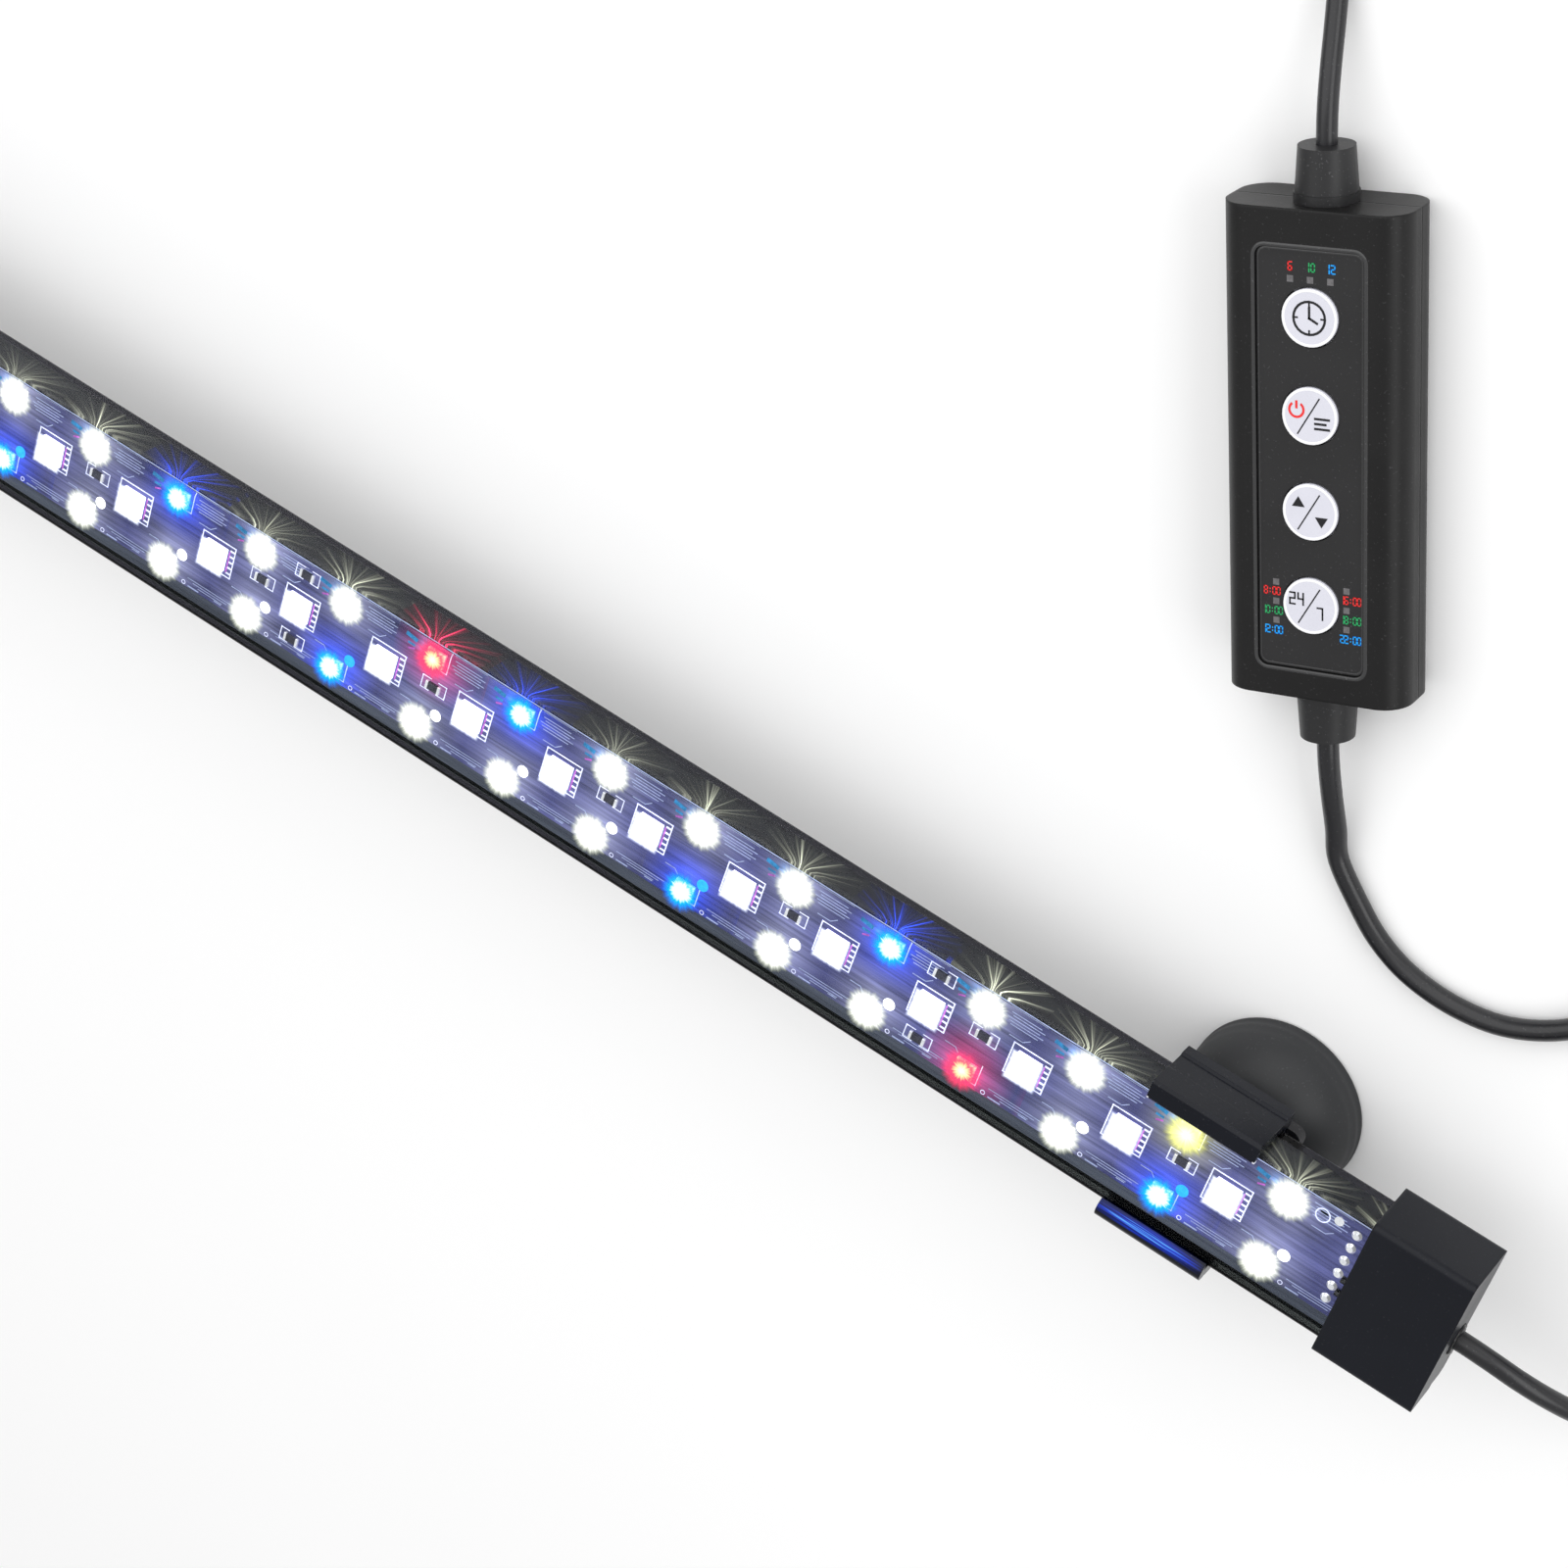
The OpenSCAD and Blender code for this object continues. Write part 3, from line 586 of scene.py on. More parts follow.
# %% Group for the light of one row
EULER = 2.718
HALF = PITCH/2
row_light, given, result = new_group("Row light",
    [("Row mm", FLOAT, ROW), ("Shift mm", FLOAT, 0.0), ("Reach mm", FLOAT, 4.0),
    ("End mm", FLOAT, LAST + HALF)],
    [("Halo", FLOAT)])
x, y, z = place_mm(row_light)
near_x = calc("WRAP", x - given["Shift mm"], HALF, -HALF)
away = distance(near_x, y - given["Row mm"])
at_edge = EULER**(-HALF/given["Reach mm"])
halo = calc("MAXIMUM", EULER**(away*-1.0/given["Reach mm"]) - at_edge, 0.0)
fill(result, {"Halo": halo*(abs(x) < given["End mm"])})
print("group made:", row_light.name)

# %% [markdown]
# ## The colour of each column
# A colour ramp with hard steps works as a paint chart: its position is the column number, and each coloured
# LED takes one step of it. The steps come from the same lists as the LEDs, so they can't disagree.

# %% Ramp of column colours
POOL = {"white": (0.40, 0.41, 0.54), "blue": (0.03, 0.12, 1.6), "red": (1.0, 0.03, 0.14),
    "yellow": (0.62, 0.60, 0.22)}


def column_colours(tree, row, chart):
    kinds = [kind_of(c, row) for c in range(22)]
    stops = [(c/22, chart[kinds[c]]) for c in range(22) if c == 0 or kinds[c] != kinds[c - 1]]
    return ramp((place_mm(tree)[0] + (LAST + HALF))/(22*PITCH), stops, "CONSTANT")


print("pool colours:", ", ".join(POOL))

# %% [markdown]
# ## The circuit board
# Dark blue solder mask over copper. Fine tracks run the length of the board, so the noise that shades it is
# stretched along X. The pools of light are painted on as glow and added up on top: two outer rows, the middle
# row, a small painted cool glint beside each upper LED, and a faint painted violet glow in clouds over it
# all.

# %% Board finish
board_finish, tree, shader = new_finish("board_mask", roughness=0.35, specular=0.15, Emission_Strength=1.0)
streaks = stretched_noise(tree, 26, 0.55)
clouds = stretched_noise(tree, 14, 6)


def row_pool(colour, strength, **where):
    return scaled(colour, use_group(tree, row_light, **where)["Halo"]*strength)


# Painted light: pools round the LED rows, a painted cool glint by each upper LED, a painted violet cloud glow
pool = added(
    row_pool(column_colours(tree, upper, POOL), 1.5, Row_mm=ROW, Shift_mm=HALF, Reach_mm=4.6),
    row_pool(column_colours(tree, lower, POOL), 1.5, Row_mm=-ROW, Shift_mm=HALF, Reach_mm=4.6),
    row_pool((0.15, 0.15, 0.46), 0.8, Row_mm=0.0, Shift_mm=0.0, Reach_mm=3.2, End_mm=214.0),
    row_pool((0.10, 0.45, 1.0), 0.9, Row_mm=8.3, Shift_mm=HALF - 3.7, Reach_mm=0.75),
    scaled((0.062, 0.066, 0.165), clouds*2.2))
fill(shader.inputs, {"Base Color": blend(streaks, (0.008, 0.010, 0.035, 1), (0.030, 0.034, 0.085, 1)),
    "Emission Color": scaled(pool, streaks*1.5 + (clouds*0.8 - 0.3))})
roughen(shader, streaks, 0.05, 0.5)
dress(board_finish, "led_board")
print("board nodes:", len(tree.nodes))

# %% [markdown]
# ## Printing on the board
# The white outlines on a circuit board are printed in thin paint. Each is a narrow flat ribbon lying just
# above the board. A small pen collects ribbons, rings and blocks, and turns them into one piece at the end.

# %% A pen for flat marks
class Pen:
    def __init__(self, height, place=None):
        self.height, self.place = height, place or (lambda x, y, z: (x, y, z))
        self.points, self.faces = [], []

    def shape(self, corners):
        first = len(self.points)
        self.points += [tuple(self.place(x, y, self.height)) for x, y in corners]
        self.faces.append(tuple(range(first, len(self.points))))

    def line(self, start, end, width):
        a, b = Vector(start), Vector(end)
        along = (b - a).normalized()*width/2
        side = Vector((-along.y, along.x))
        self.shape([a - along - side, b + along - side, b + along + side, a - along + side])

    def path(self, corners, width):
        for a, b in zip(corners, corners[1:]):
            self.line(a, b, width)

    def ring(self, centre, radius, width, start=0, end=360, steps=24):
        edge = [start + (end - start)*k/steps for k in range(steps + 1)]
        inner, outer = radius - width/2, radius + width/2
        for a, b in zip(edge, edge[1:]):
            self.shape([on_circle(centre, r, t) for r, t in [(inner, a), (outer, a), (outer, b), (inner, b)]])

    def disc(self, centre, radius):
        self.shape([on_circle(centre, radius, 20*k) for k in range(18)])

    def draw(self, name, finish, slot, body="light"):
        drawn = piece(name, self.points, self.faces, body=body)
        drawn.data.materials.append(finish)
        return drawn


print("pen ready")

# %% [markdown]
# ## Paint that catches the light
# Printed ink is thick in some places and thin in others. Noise in its strength keeps the outlines from
# looking drawn by a ruler. Ink beside lit LEDs is bright, so this finish can glow a little as well, as
# painted light.

# %% Printed ink
def ink(name, colour, glow=0.0, uneven=0.5):
    finish, tree, shader = new_finish(name, specular=0.3, Emission_Strength=glow)
    painted = scaled(colour, stretched_noise(tree, 0.9, 0.9, 3.0)*(uneven*2) + (1 - uneven))
    fill(shader.inputs, {"Base Color": painted})
    if glow:
        fill(shader.inputs, {"Emission Color": painted})
    return finish


# The white print and the tracks glow with painted light from the LEDs
silk_ink = ink("silkscreen", (0.62, 0.64, 0.80), glow=0.75)
track_ink = ink("track_shine", (0.30, 0.35, 0.52), glow=0.6)
print("inks:", silk_ink.name, track_ink.name)

# %% [markdown]
# ## Outlines round the square LEDs and the resistors
# Each square LED has a printed frame that is a little larger than it, with a row of small teeth on the side
# towards the cable end. Each resistor has a pair of open brackets.

# %% Draw the white print
silk = Pen(BOARD + 0.06)
for j in range(21):
    x = PITCH*j - 210
    silk.path([(x - 3.9, 3.5), (x + 4.2, 3.5), (x + 4.2, -3.4), (x - 3.9, -3.4), (x - 3.9, 3.5)], 0.26)
    for t in range(5):
        silk.line((x + 3.2, 2.5 - 1.25*t), (x + 3.9, 2.5 - 1.25*t), 0.42)
chips = [(column_x(c) + 1, 1.0) for c in range(0, 21, 2)]
chips += [(column_x(c) + HALF, 7.5*s) for c in range(3, 21, 7) for s in (-1, 1)]
for x, y in chips:
    for s in (-1, 1):
        near, far = x + s*0.9, x + s*2.8
        silk.path([(near, y + 1.35), (far, y + 1.35), (far, y - 1.35), (near, y - 1.35)], 0.22)
for c in range(22):
    x = column_x(c)
    silk.ring((x + 4.7, -10.0), 0.42, 0.16)
    for row, y in ((upper, ROW), (lower, -ROW)):
        if kind_of(c, row) != "white":
            silk.path([(x + 1.4, y - 2.3), (x + 2.9, y - 2.3), (x + 2.9, y + 2.3)], 0.2)
silk.ring((LAST + 6.2, 7.4), 1.35, 0.26)
silk.draw("board_print", silk_ink, "silkscreen")
print("printed marks:", len(silk.faces))

# %% [markdown]
# ## Tracks between the LEDs
# Copper tracks under the mask show as bundles of fine raised lines beside each upper LED. A few longer ones
# run along the lower edge. Each bundle is drawn with the same pen, in a darker ink that also glows as painted
# light. The top edge of the channel's far wall catches the light too, painted as one thin glowing line along
# the whole bar.

# %% Draw the tracks
tracks = Pen(BOARD + 0.04)
for c in range(22):
    x = column_x(c)
    for t in range(6):
        y = ROW + 2.2 - 0.62*t
        tracks.line((x + 3.6 + 0.5*(t%3), y), (x + 11.2 - 0.9*(t%2), y), 0.17)
    for t in range(3):
        tracks.line((x + 5.5 + 1.4*t, -8.6 - 0.55*t), (x + 16.5 - 1.1*t, -8.6 - 0.55*t), 0.14)
    tracks.path([(x + 5.2, 4.3), (x + 8.0, 4.3), (x + 9.2, 5.3)], 0.16)
    tracks.path([(x - 5.4, -4.6), (x - 3.2, -4.6), (x - 2.4, -5.4)], 0.16)
    tracks.line((x + 6.0, -10.3), (x + 8.4, -10.3), 0.3)
    tracks.line((x - 8.5, -10.0), (x - 6.9, -10.0), 0.2)
tracks.draw("board_tracks", track_ink, "silkscreen")
# Painted highlight: one thin glowing line along the top edge of the channel's far wall
edge_light = Pen(32.42)
edge_light.line((-241.5, 11.15), (235.8, 11.15), 0.3)
edge_light.draw("channel_edge_light", track_ink, "black_anodised")
print("track lines:", len(tracks.faces))

# %% [markdown]
# ## Glints by the upper LEDs
# Copper pads beside the upper LEDs throw back thin flashes of cyan and pink. Each is a painted reflection,
# drawn as a short glowing ribbon whose ink is uneven enough to break it up. A thin pink painted glint also
# runs down the toothed side of each square LED.

# %% Cyan and pink glints
cyan_glint_ink = ink("glint_cyan", (0.02, 0.16, 0.34), glow=0.7, uneven=0.9)
pink_glint_ink = ink("glint_pink", (0.34, 0.08, 0.36), glow=0.7, uneven=0.9)
cyan, pink = Pen(BOARD + 0.07), Pen(BOARD + 0.09)
for c in range(22):
    x = column_x(c)
    # Painted reflections: cyan and pink glints beside each upper LED
    cyan.line((x - 7.2, ROW + 1.2), (x - 5.3, ROW + 0.9), 0.9)
    cyan.line((x - 6.6, ROW - 0.4), (x - 5.4, ROW - 0.4), 0.5)
    pink.line((x - 6.3, ROW - 1.5), (x - 5.2, ROW - 1.1), 0.35)
for j in range(21):
    # Painted pink glint down the toothed side of each square LED's outline
    pink.line((PITCH*j - 207.0, 2.2), (PITCH*j - 207.0, -2.4), 0.28)
cyan.draw("cyan_glints", cyan_glint_ink, "silkscreen")
pink.draw("pink_glints", pink_glint_ink, "silkscreen")
print("glints:", len(cyan.faces) + len(pink.faces))

# %% [markdown]
# ## Tinned ends on the resistors
# A chip resistor is a black ceramic brick with a bright tinned cap on each end. The bricks are measured
# parts already, so only the caps are added: small bevelled boxes that wrap each end. The tinned metal of the
# caps and the solder pads also glows faintly, which is painted light from the LEDs.

# %% Resistor ends
def boxes(name, low_high, finish, bevel=0.08):
    points, faces = [], []
    for (x0, y0, z0), (x1, y1, z1) in low_high:
        n = len(points)
        points += [(x, y, z) for z in (z0, z1) for x, y in ((x0, y0), (x1, y0), (x1, y1), (x0, y1))]
        faces += [(n, n + 3, n + 2, n + 1), (n + 4, n + 5, n + 6, n + 7)]
        faces += [(n + k, n + (k + 1)%4, n + 4 + (k + 1)%4, n + 4 + k) for k in range(4)]
    made = piece(name, points, faces)
    made.data.materials.append(finish)
    return bevelled(made, bevel, 2)


def metal(name, colour, smoothest, roughest, glow=0.0):
    finish, tree, shader = new_finish(name, Metallic=1.0, Emission_Strength=glow)
    skin = use_group(tree, moulded_skin, Colour=(*colour, 1), Grain_mm=0.4, Patch_mm=2.5, Shade_change=0.3,
        Smoothest=smoothest, Roughest=roughest)
    fill(shader.inputs, {"Base Color": skin["Colour"], "Roughness": skin["Roughness"]})
    roughen(shader, skin["Height"], 0.03)
    if glow:
        fill(shader.inputs, {"Emission Color": skin["Colour"]})
    return finish


# Painted light: the solder glows faintly as if lit by the LEDs
glowing_solder_finish = metal("solder", (0.85, 0.85, 0.86), 0.12, 0.35, glow=0.35)
ends = []
for x, y in chips:
    for s in (-1, 1):
        a, b = sorted([x + s*1.1, x + s*1.68])
        ends.append(((a, y - 0.86, BOARD + 0.02), (b, y + 0.86, BOARD + 0.62)))
boxes("resistor_ends", ends, glowing_solder_finish)
dress(moulded("chip_ceramic", (0.05, 0.05, 0.07), 0.4, 0.6, grain_mm=0.3), "chip_resistors")
dress(glowing_solder_finish, "solder_pads")
print("resistor ends:", len(ends))

# %% [markdown]
# ## The LEDs
# A lit LED is far brighter than its surroundings, so it shows as plain light with its package only hinted
# at. The finish is brightest on the lens and dims down the sides of the package, by height.

# %% Finishes of the LEDs
def lit(name, lens, body, top_mm=31.7):
    finish, tree, shader = new_finish(name, roughness=0.4, specular=0.2, Emission_Strength=3.0,
        Base_Color=(0.6, 0.6, 0.58, 1))
    height = make(tree, "MapRange", {"Value": place_mm(tree)[2], "From Min": BOARD, "From Max": top_mm})
    speckle = stretched_noise(tree, 0.5, 0.5)*0.3 + 0.85
    fill(shader.inputs, {"Emission Color": scaled(blend(height**2.0, (*body, 1), (*lens, 1)), speckle)})
    finish.cycles.emission_sampling = "NONE"
    return finish


dress(lit("led_white", (1, 1, 0.95), (0.6, 0.6, 0.5)), "white_leds")
dress(lit("led_blue", (0.5, 0.85, 1), (0.0, 0.12, 0.8)), "blue_leds")
dress(lit("led_red", (1, 0.65, 0.35), (0.8, 0.02, 0.08)), "red_leds")
dress(lit("led_yellow", (1, 1, 0.5), (0.6, 0.55, 0.05)), "yellow_leds")
dress(lit("led_square", (1, 1, 1), (0.55, 0.52, 0.9), 32.3), "square_leds")
print("LED finishes done")

# %% [markdown]
# ## The bloom over each LED
# To the eye and to a lens, a strong lamp spreads past its own edge. A thin disc over each LED carries that
# bloom: solid light in the middle, then a coloured rim that fades away in ragged spikes.
# The disc's own flat map gives the distance and the direction from its centre.

# %% Discs of bloom
RIM = 0.98


def bloom_piece(name, centres, radius, z, finish, square=False):
    edge = [(-1, -1), (1, -1), (1, 1), (-1, 1)] if square else [on_circle((0, 0), 1, 15*k) for k in range(24)]
    n = len(edge)
    points = [(x + u*radius, y + v*radius, z) for x, y in centres for u, v in edge]
    made = piece(name, points, [tuple(range(n*i, n*i + n)) for i in range(len(centres))])
    layer = made.data.uv_layers.new(name="bloom")
    for loop in made.data.loops:
        u, v = edge[loop.vertex_index%n]
        layer.data[loop.index].uv = (0.5 + u/2, 0.5 + v/2)
    made.data.materials.append(finish)


def bloom_finish(name, stops, solid, spikes, square=False):
    finish, tree, shader = new_finish(name, roughness=1.0, specular=0.0, Emission_Strength=1.6,
        Base_Color=(0, 0, 0, 1))
    u, v, w = [(part - 0.5)*2.0 for part in parts_of(tree, "UV")]
    away = calc("SMOOTH_MAX", abs(u), abs(v), 0.12) if square else distance(u, v)
    direction = calc("ARCTAN2", v, u)
    around = make(tree, "CombineXYZ", {0: calc("COSINE", direction)*5.0, 1: calc("SINE", direction)*5.0})
    spoke = make(tree, "TexNoise", {"Vector": around, "Scale": 1.0}, "Fac", noise_dimensions="2D")
    ragged = (spoke - 0.5)*spikes + away
    cover = make(tree, "MapRange", {"Value": ragged, "From Min": solid, "From Max": RIM, "To Min": 1.0,
        "To Max": 0.0}, interpolation_type="SMOOTHSTEP")
    fill(shader.inputs, {"Emission Color": ramp(ragged, stops), "Alpha": cover*(away < RIM)})
    finish.cycles.emission_sampling = "NONE"
    return finish


spots = {kind: [] for kind in ("white", "blue", "red", "yellow")}
for c in range(22):
    spots[kind_of(c, upper)].append((column_x(c), ROW))
    spots[kind_of(c, lower)].append((column_x(c), -ROW))
BLOOMS = {
    "white": ([(0, (1, 1, 1)), (0.66, (1, 1, 0.90)), (1, (0.62, 0.68, 0.42))], 0.50, 0.30),
    "blue": ([(0, (1, 1, 1)), (0.34, (0.75, 1, 1)), (0.5, (0.0, 0.42, 1)), (1, (0, 0.05, 1))], 0.42, 0.35),
    "red": ([(0, (1, 1, 0.75)), (0.26, (1, 0.6, 0.3)), (0.42, (1, 0.06, 0.14)), (1, (0.9, 0.02, 0.14))], 0.38,
    0.35),
    "yellow": ([(0, (1, 1, 0.8)), (0.4, (1, 1, 0.35)), (1, (0.5, 0.5, 0.02))], 0.4, 0.35)}
for kind, centres in spots.items():
    bloom_piece("bloom_over_" + kind, centres, 4.7, BOARD + 1.45,
        bloom_finish("bloom_" + kind, *BLOOMS[kind]))
square_bloom = bloom_finish("bloom_square", [(0, (1, 1, 1)), (0.75, (1, 1, 1)), (1, (0.5, 0.6, 1))], 0.72,
    0.10,
    square=True)
bloom_piece("bloom_over_square", [(PITCH*j - 210, 0) for j in range(21)], 3.6, BOARD + 1.56, square_bloom,
    square=True)
print("blooms:", {kind: len(centres) for kind, centres in spots.items()})

# %% [markdown]
# ## Bright pads beside the lower LEDs
# A small round tinned pad stands beside each lower LED, and the light it catches is painted on it as a white
# or cool blue glow.

# %% Lit pads
white_lit_pads, blue_lit_pads = Pen(BOARD + 0.5), Pen(BOARD + 0.5)
for c in range(22):
    if c not in lower["red"]:
        pen = white_lit_pads if kind_of(c, lower) == "white" else blue_lit_pads
        pen.disc((column_x(c) + 3.3, -ROW + 3.1), 1.25)
# Painted light: the pads glow white or cool blue
white_lit_pads.draw("pads_beside_white", ink("pad_lit_white", (1.0, 1.0, 0.95), glow=1.3, uneven=0.15), "silkscreen")
blue_lit_pads.draw("pads_beside_blue", ink("pad_lit_blue", (0.02, 0.35, 1.0), glow=0.9, uneven=0.4), "led_blue")
print("pads:", len(white_lit_pads.faces) + len(blue_lit_pads.faces))

# %% [markdown]
# ## The black channel
# The board sits in a black anodised aluminium channel that carries its heat away. Its long outer wall shows
# through the clear side of the tube. Light spills over its top edge in thin rays that fan out from each LED,
# so the wall has its own glow: the angle from the nearest LED picks a ray, and the distance fades it.
# The near wall is lit evenly from across the board, so it only gets a pale haze.

# %% Channel finish
RAY = {"white": (0.80, 0.82, 0.62), "blue": (0.05, 0.20, 2.6), "red": (1.6, 0.05, 0.20),
    "yellow": (0.75, 0.75, 0.3)}
LED_HEIGHT = 33.6
channel_finish, tree, shader = new_finish("black_anodised", specular=0.08, Emission_Strength=1.0)
skin = use_group(tree, moulded_skin, Colour=(0.009, 0.010, 0.015, 1), Grain_mm=4.0, Patch_mm=18.0,
    Shade_change=0.12,
    Smoothest=0.4, Roughest=0.55)
x, y, z = place_mm(tree)
near_x = calc("WRAP", x - HALF, HALF, -HALF)
drop = LED_HEIGHT - z
column = calc("FLOOR", (x + (LAST + HALF))/PITCH)
fan = make(tree, "CombineXYZ", {0: calc("ARCTAN2", near_x, drop)*9.0, 1: column*7.3})
rays = make(tree, "TexNoise", {"Vector": fan, "Scale": 1.0, "Detail": 2.0}, "Fac", noise_dimensions="2D")
ray_light = ((rays*1.75)**9.0*0.6 + 0.10)*EULER**(distance(near_x, drop)/-2.6)
spill = scaled(column_colours(tree, upper, RAY), ray_light*(y > 11.2))
haze = scaled((0.070, 0.082, 0.105), (stretched_noise(tree, 30, 0.8)*1.4 + 0.2)*(y < -10.7))
fill(shader.inputs, {"Base Color": skin["Colour"], "Roughness": skin["Roughness"],
    "Emission Color": added(spill, haze)})
dress(channel_finish, "heat_sink_channel")
print("channel nodes:", len(tree.nodes))

# %% [markdown]
# ## The clear tube
# The tube is a rectangular length of clear plastic with polished faces. Light should bend through it and
# glance off it, which Transmission on the main shader does. Faint long waves from the extruder and
# a few rubs in its roughness keep it from being perfect. Thick clear plastic looks grey-green and dark along
# its edges, where light has come a long way through it, so painted shade darkens the tube by position:
# near black along the near long side and the lower face, and grey low on the far side.

# %% Tube finish
tube_finish, tree, shader = new_finish("clear_tube", specular=0.5, Transmission_Weight=1.0, IOR=1.16)
x, y, z = place_mm(tree)
clear = (0.96, 0.98, 1.0, 1)
# Painted shade: dark colours by position along the tube's edges and lower face
for where, painted_shade in [(y < -12.05, (0.004, 0.005, 0.005, 1)), (y < -13.2, (0.006, 0.0075, 0.007, 1)),
        ((y > 12.9)*(z < 25.7), (0.45, 0.46, 0.50, 1)), ((y < 12.9)*(z < 24.2), (0.002, 0.002, 0.003, 1))]:
    clear = blend(where, clear, painted_shade)
worn = use_group(tree, handling_marks, Amount=0.6, Stretch=40.0)
fill(shader.inputs, {"Base Color": clear, "Roughness": worn["Rubs"]*0.02 + 0.01})
roughen(shader, stretched_noise(tree, 60, 3.0), 0.02, 0.4)
dress(tube_finish, "lens_tube")
print("tube finish:", tube_finish.name)

# %% [markdown]
# ## The clips
# Each clip is a length of one profile, like a letter C lying round the tube. One claw is flat, the other is
# a rolled bead. Drawing the profile once and giving it a length is how an extruded clip is really made.

# %% Profile of a clip
BEAD = (-14.4, 34.4)
CLIP_PROFILE = [(12.3, 35.3), (12.3, 36.1), (12.7, 36.5), (15.9, 36.5), (16.5, 35.9), (16.5, 30.6),
    (16.0, 30.2),
    (16.0, 25.2), (16.5, 24.8), (16.5, 22.3), (15.7, 21.5), (-15.7, 21.5), (-16.5, 22.3), (-16.5, 33.0),
    (-16.2, 33.4), (-16.5, 33.8)]
CLIP_PROFILE += [on_circle(BEAD, 2.1, 180 - a) for a in range(0, 151, 10)]
CLIP_PROFILE += [(-12.3, 35.3), (-13.8, 35.3), (-13.8, 23.7), (13.8, 23.7), (13.8, 35.3)]


def clip_piece(name, side, body, node):
    n = len(CLIP_PROFILE)
    points = [(side*x, side*y, z) for x in (191.0, 213.0) for y, z in CLIP_PROFILE]
    faces = [(k, (k + 1)%n, n + (k + 1)%n, n + k) for k in range(n)]
    faces += [tuple(reversed(range(n))), tuple(range(n, 2*n))]
    made = piece(name, points, faces, body=body, smooth=True, nodes=[node])
    made.data.set_sharp_from_angle(angle=math.radians(28))
    return bevelled(made, 0.22, 2, angle=50)


clips = [clip_piece("clip_by_cable", 1, "right_clip", "right_clip"),
    clip_piece("clip_far", -1, "left_clip", "left_clip")]
print("clip faces:", len(clips[0].data.polygons))

# %% [markdown]
# ## Blue light on the bead
# Each clip sits beside a blue LED, and its polished bead throws that light back as saturated blue streaks.
# The streaks are painted reflections: noise stretched along the bead, kept to the bead by height and side.
# Small white painted highlights sit at both ends of the flat claw's lip.

# %% Clip finish
clip_finish = moulded("clip_plastic", (0.003, 0.004, 0.008), 0.16, 0.30, grain_mm=0.8, depth_mm=0.006,
    specular=0.22,
    marks=0.2)
tree = clip_finish.node_tree
x, y, z = place_mm(tree)
side = calc("SIGN", x)
x, y = x*side, y*side
across = calc("ARCTAN2", z - BEAD[1], y - BEAD[0])
band = calc("MAXIMUM", 1.0 - abs(across - 1.0)*1.6, 0.0)
middle = calc("MAXIMUM", 1.0 - (abs(x - 200.5)/12.5)**2.0, 0.0)
streak_place = make(tree, "CombineXYZ", {0: x*0.05, 1: across*5.0})
streak = make(tree, "TexNoise", {"Vector": streak_place, "Scale": 1.3}, "Fac")
# Painted reflection: blue streaks along the bead
level = band*(streak*1.8)**3.0*((y < -12.0)*(z > 33.9))*middle
blue = ramp(level, [(0, (0, 0, 0)), (0.5, (0.0, 0.035, 0.62)), (1, (0.10, 0.42, 1.0))])
# Painted highlight: small white glints at both ends of the flat claw's lip
lip_end_glint = (abs(x - 202.0) > 10.6)*(abs(y - 12.55) < 0.35)*(z > 35.0)
fill(tree.nodes["Principled BSDF"].inputs, {"Emission Color": added(blue, scaled((0.75, 0.75, 0.8), lip_end_glint)),
    "Emission Strength": 1.0})
for made in clips:
    made.data.materials.append(clip_finish)
print("clip nodes:", len(tree.nodes))

# %% [markdown]
# ## The suction cups
# A suction cup is soft rubber turned about one axis, so its half outline is drawn once and spun round.
# The rim is thin and slightly rolled, and a fine moulding line runs round the dome.

# %% Spin an outline
def spun(name, outline, centre, body, nodes, steps=72):
    points = [(*on_circle(centre, r, 360*i/steps), z) for i in range(steps) for r, z in outline]
    n = len(outline)
    faces = []
    for i in range(steps):
        j = (i + 1)%steps
        faces += [(n*i + k, n*j + k, n*j + k + 1, n*i + k + 1) for k in range(n - 1)]
    faces += [tuple(n*i for i in reversed(range(steps))), tuple(n*i + n - 1 for i in range(steps))]
    made = piece(name, points, faces, body=body, smooth=True, nodes=nodes)
    made.data.set_sharp_from_angle(angle=math.radians(40))
    return made


cup_outline = [(6.0, 3.4), (15.5, 0.3), (15.9, 0.0), (16.6, 0.05), (17.0, 0.4), (17.0, 1.0), (16.85, 1.25)]
for degrees in range(6, 76, 3):
    a = math.radians(degrees)
    dip = 0.12 if degrees == 12 else 0.0
    cup_outline.append(((17 - dip)*math.cos(a), 1 + (14.5 - dip)*math.sin(a)))
cup_outline += [(4.0, 15.3), (4.0, 20.2), (5.7, 20.2), (6.0, 20.4), (6.0, 21.0), (5.7, 21.2)]
cups = [spun("cup_by_cable", cup_outline, (205, 0), "right_cup", ["right_suction_cup"]),
    spun("cup_far", cup_outline, (-205, 0), "left_cup", ["left_suction_cup"])]
cup_finish = moulded("cup_rubber", (0.020, 0.021, 0.023), 0.42, 0.55, grain_mm=0.25, patch_mm=9,
    depth_mm=0.004,
    change=0.12, marks=0.25)
for made in cups:
    made.data.materials.append(cup_finish)
print("cup faces:", len(cups[0].data.polygons))

# %% [markdown]
# ## The controller's case
# The case is a dull, finely grained moulding. Its panel is a separate plastic film that is a shade lighter,
# and the film sits in a shallow recess whose edge catches the light as a thin rim. The rims are real raised
# lips, and their lighter, shinier finish is a painted highlight.

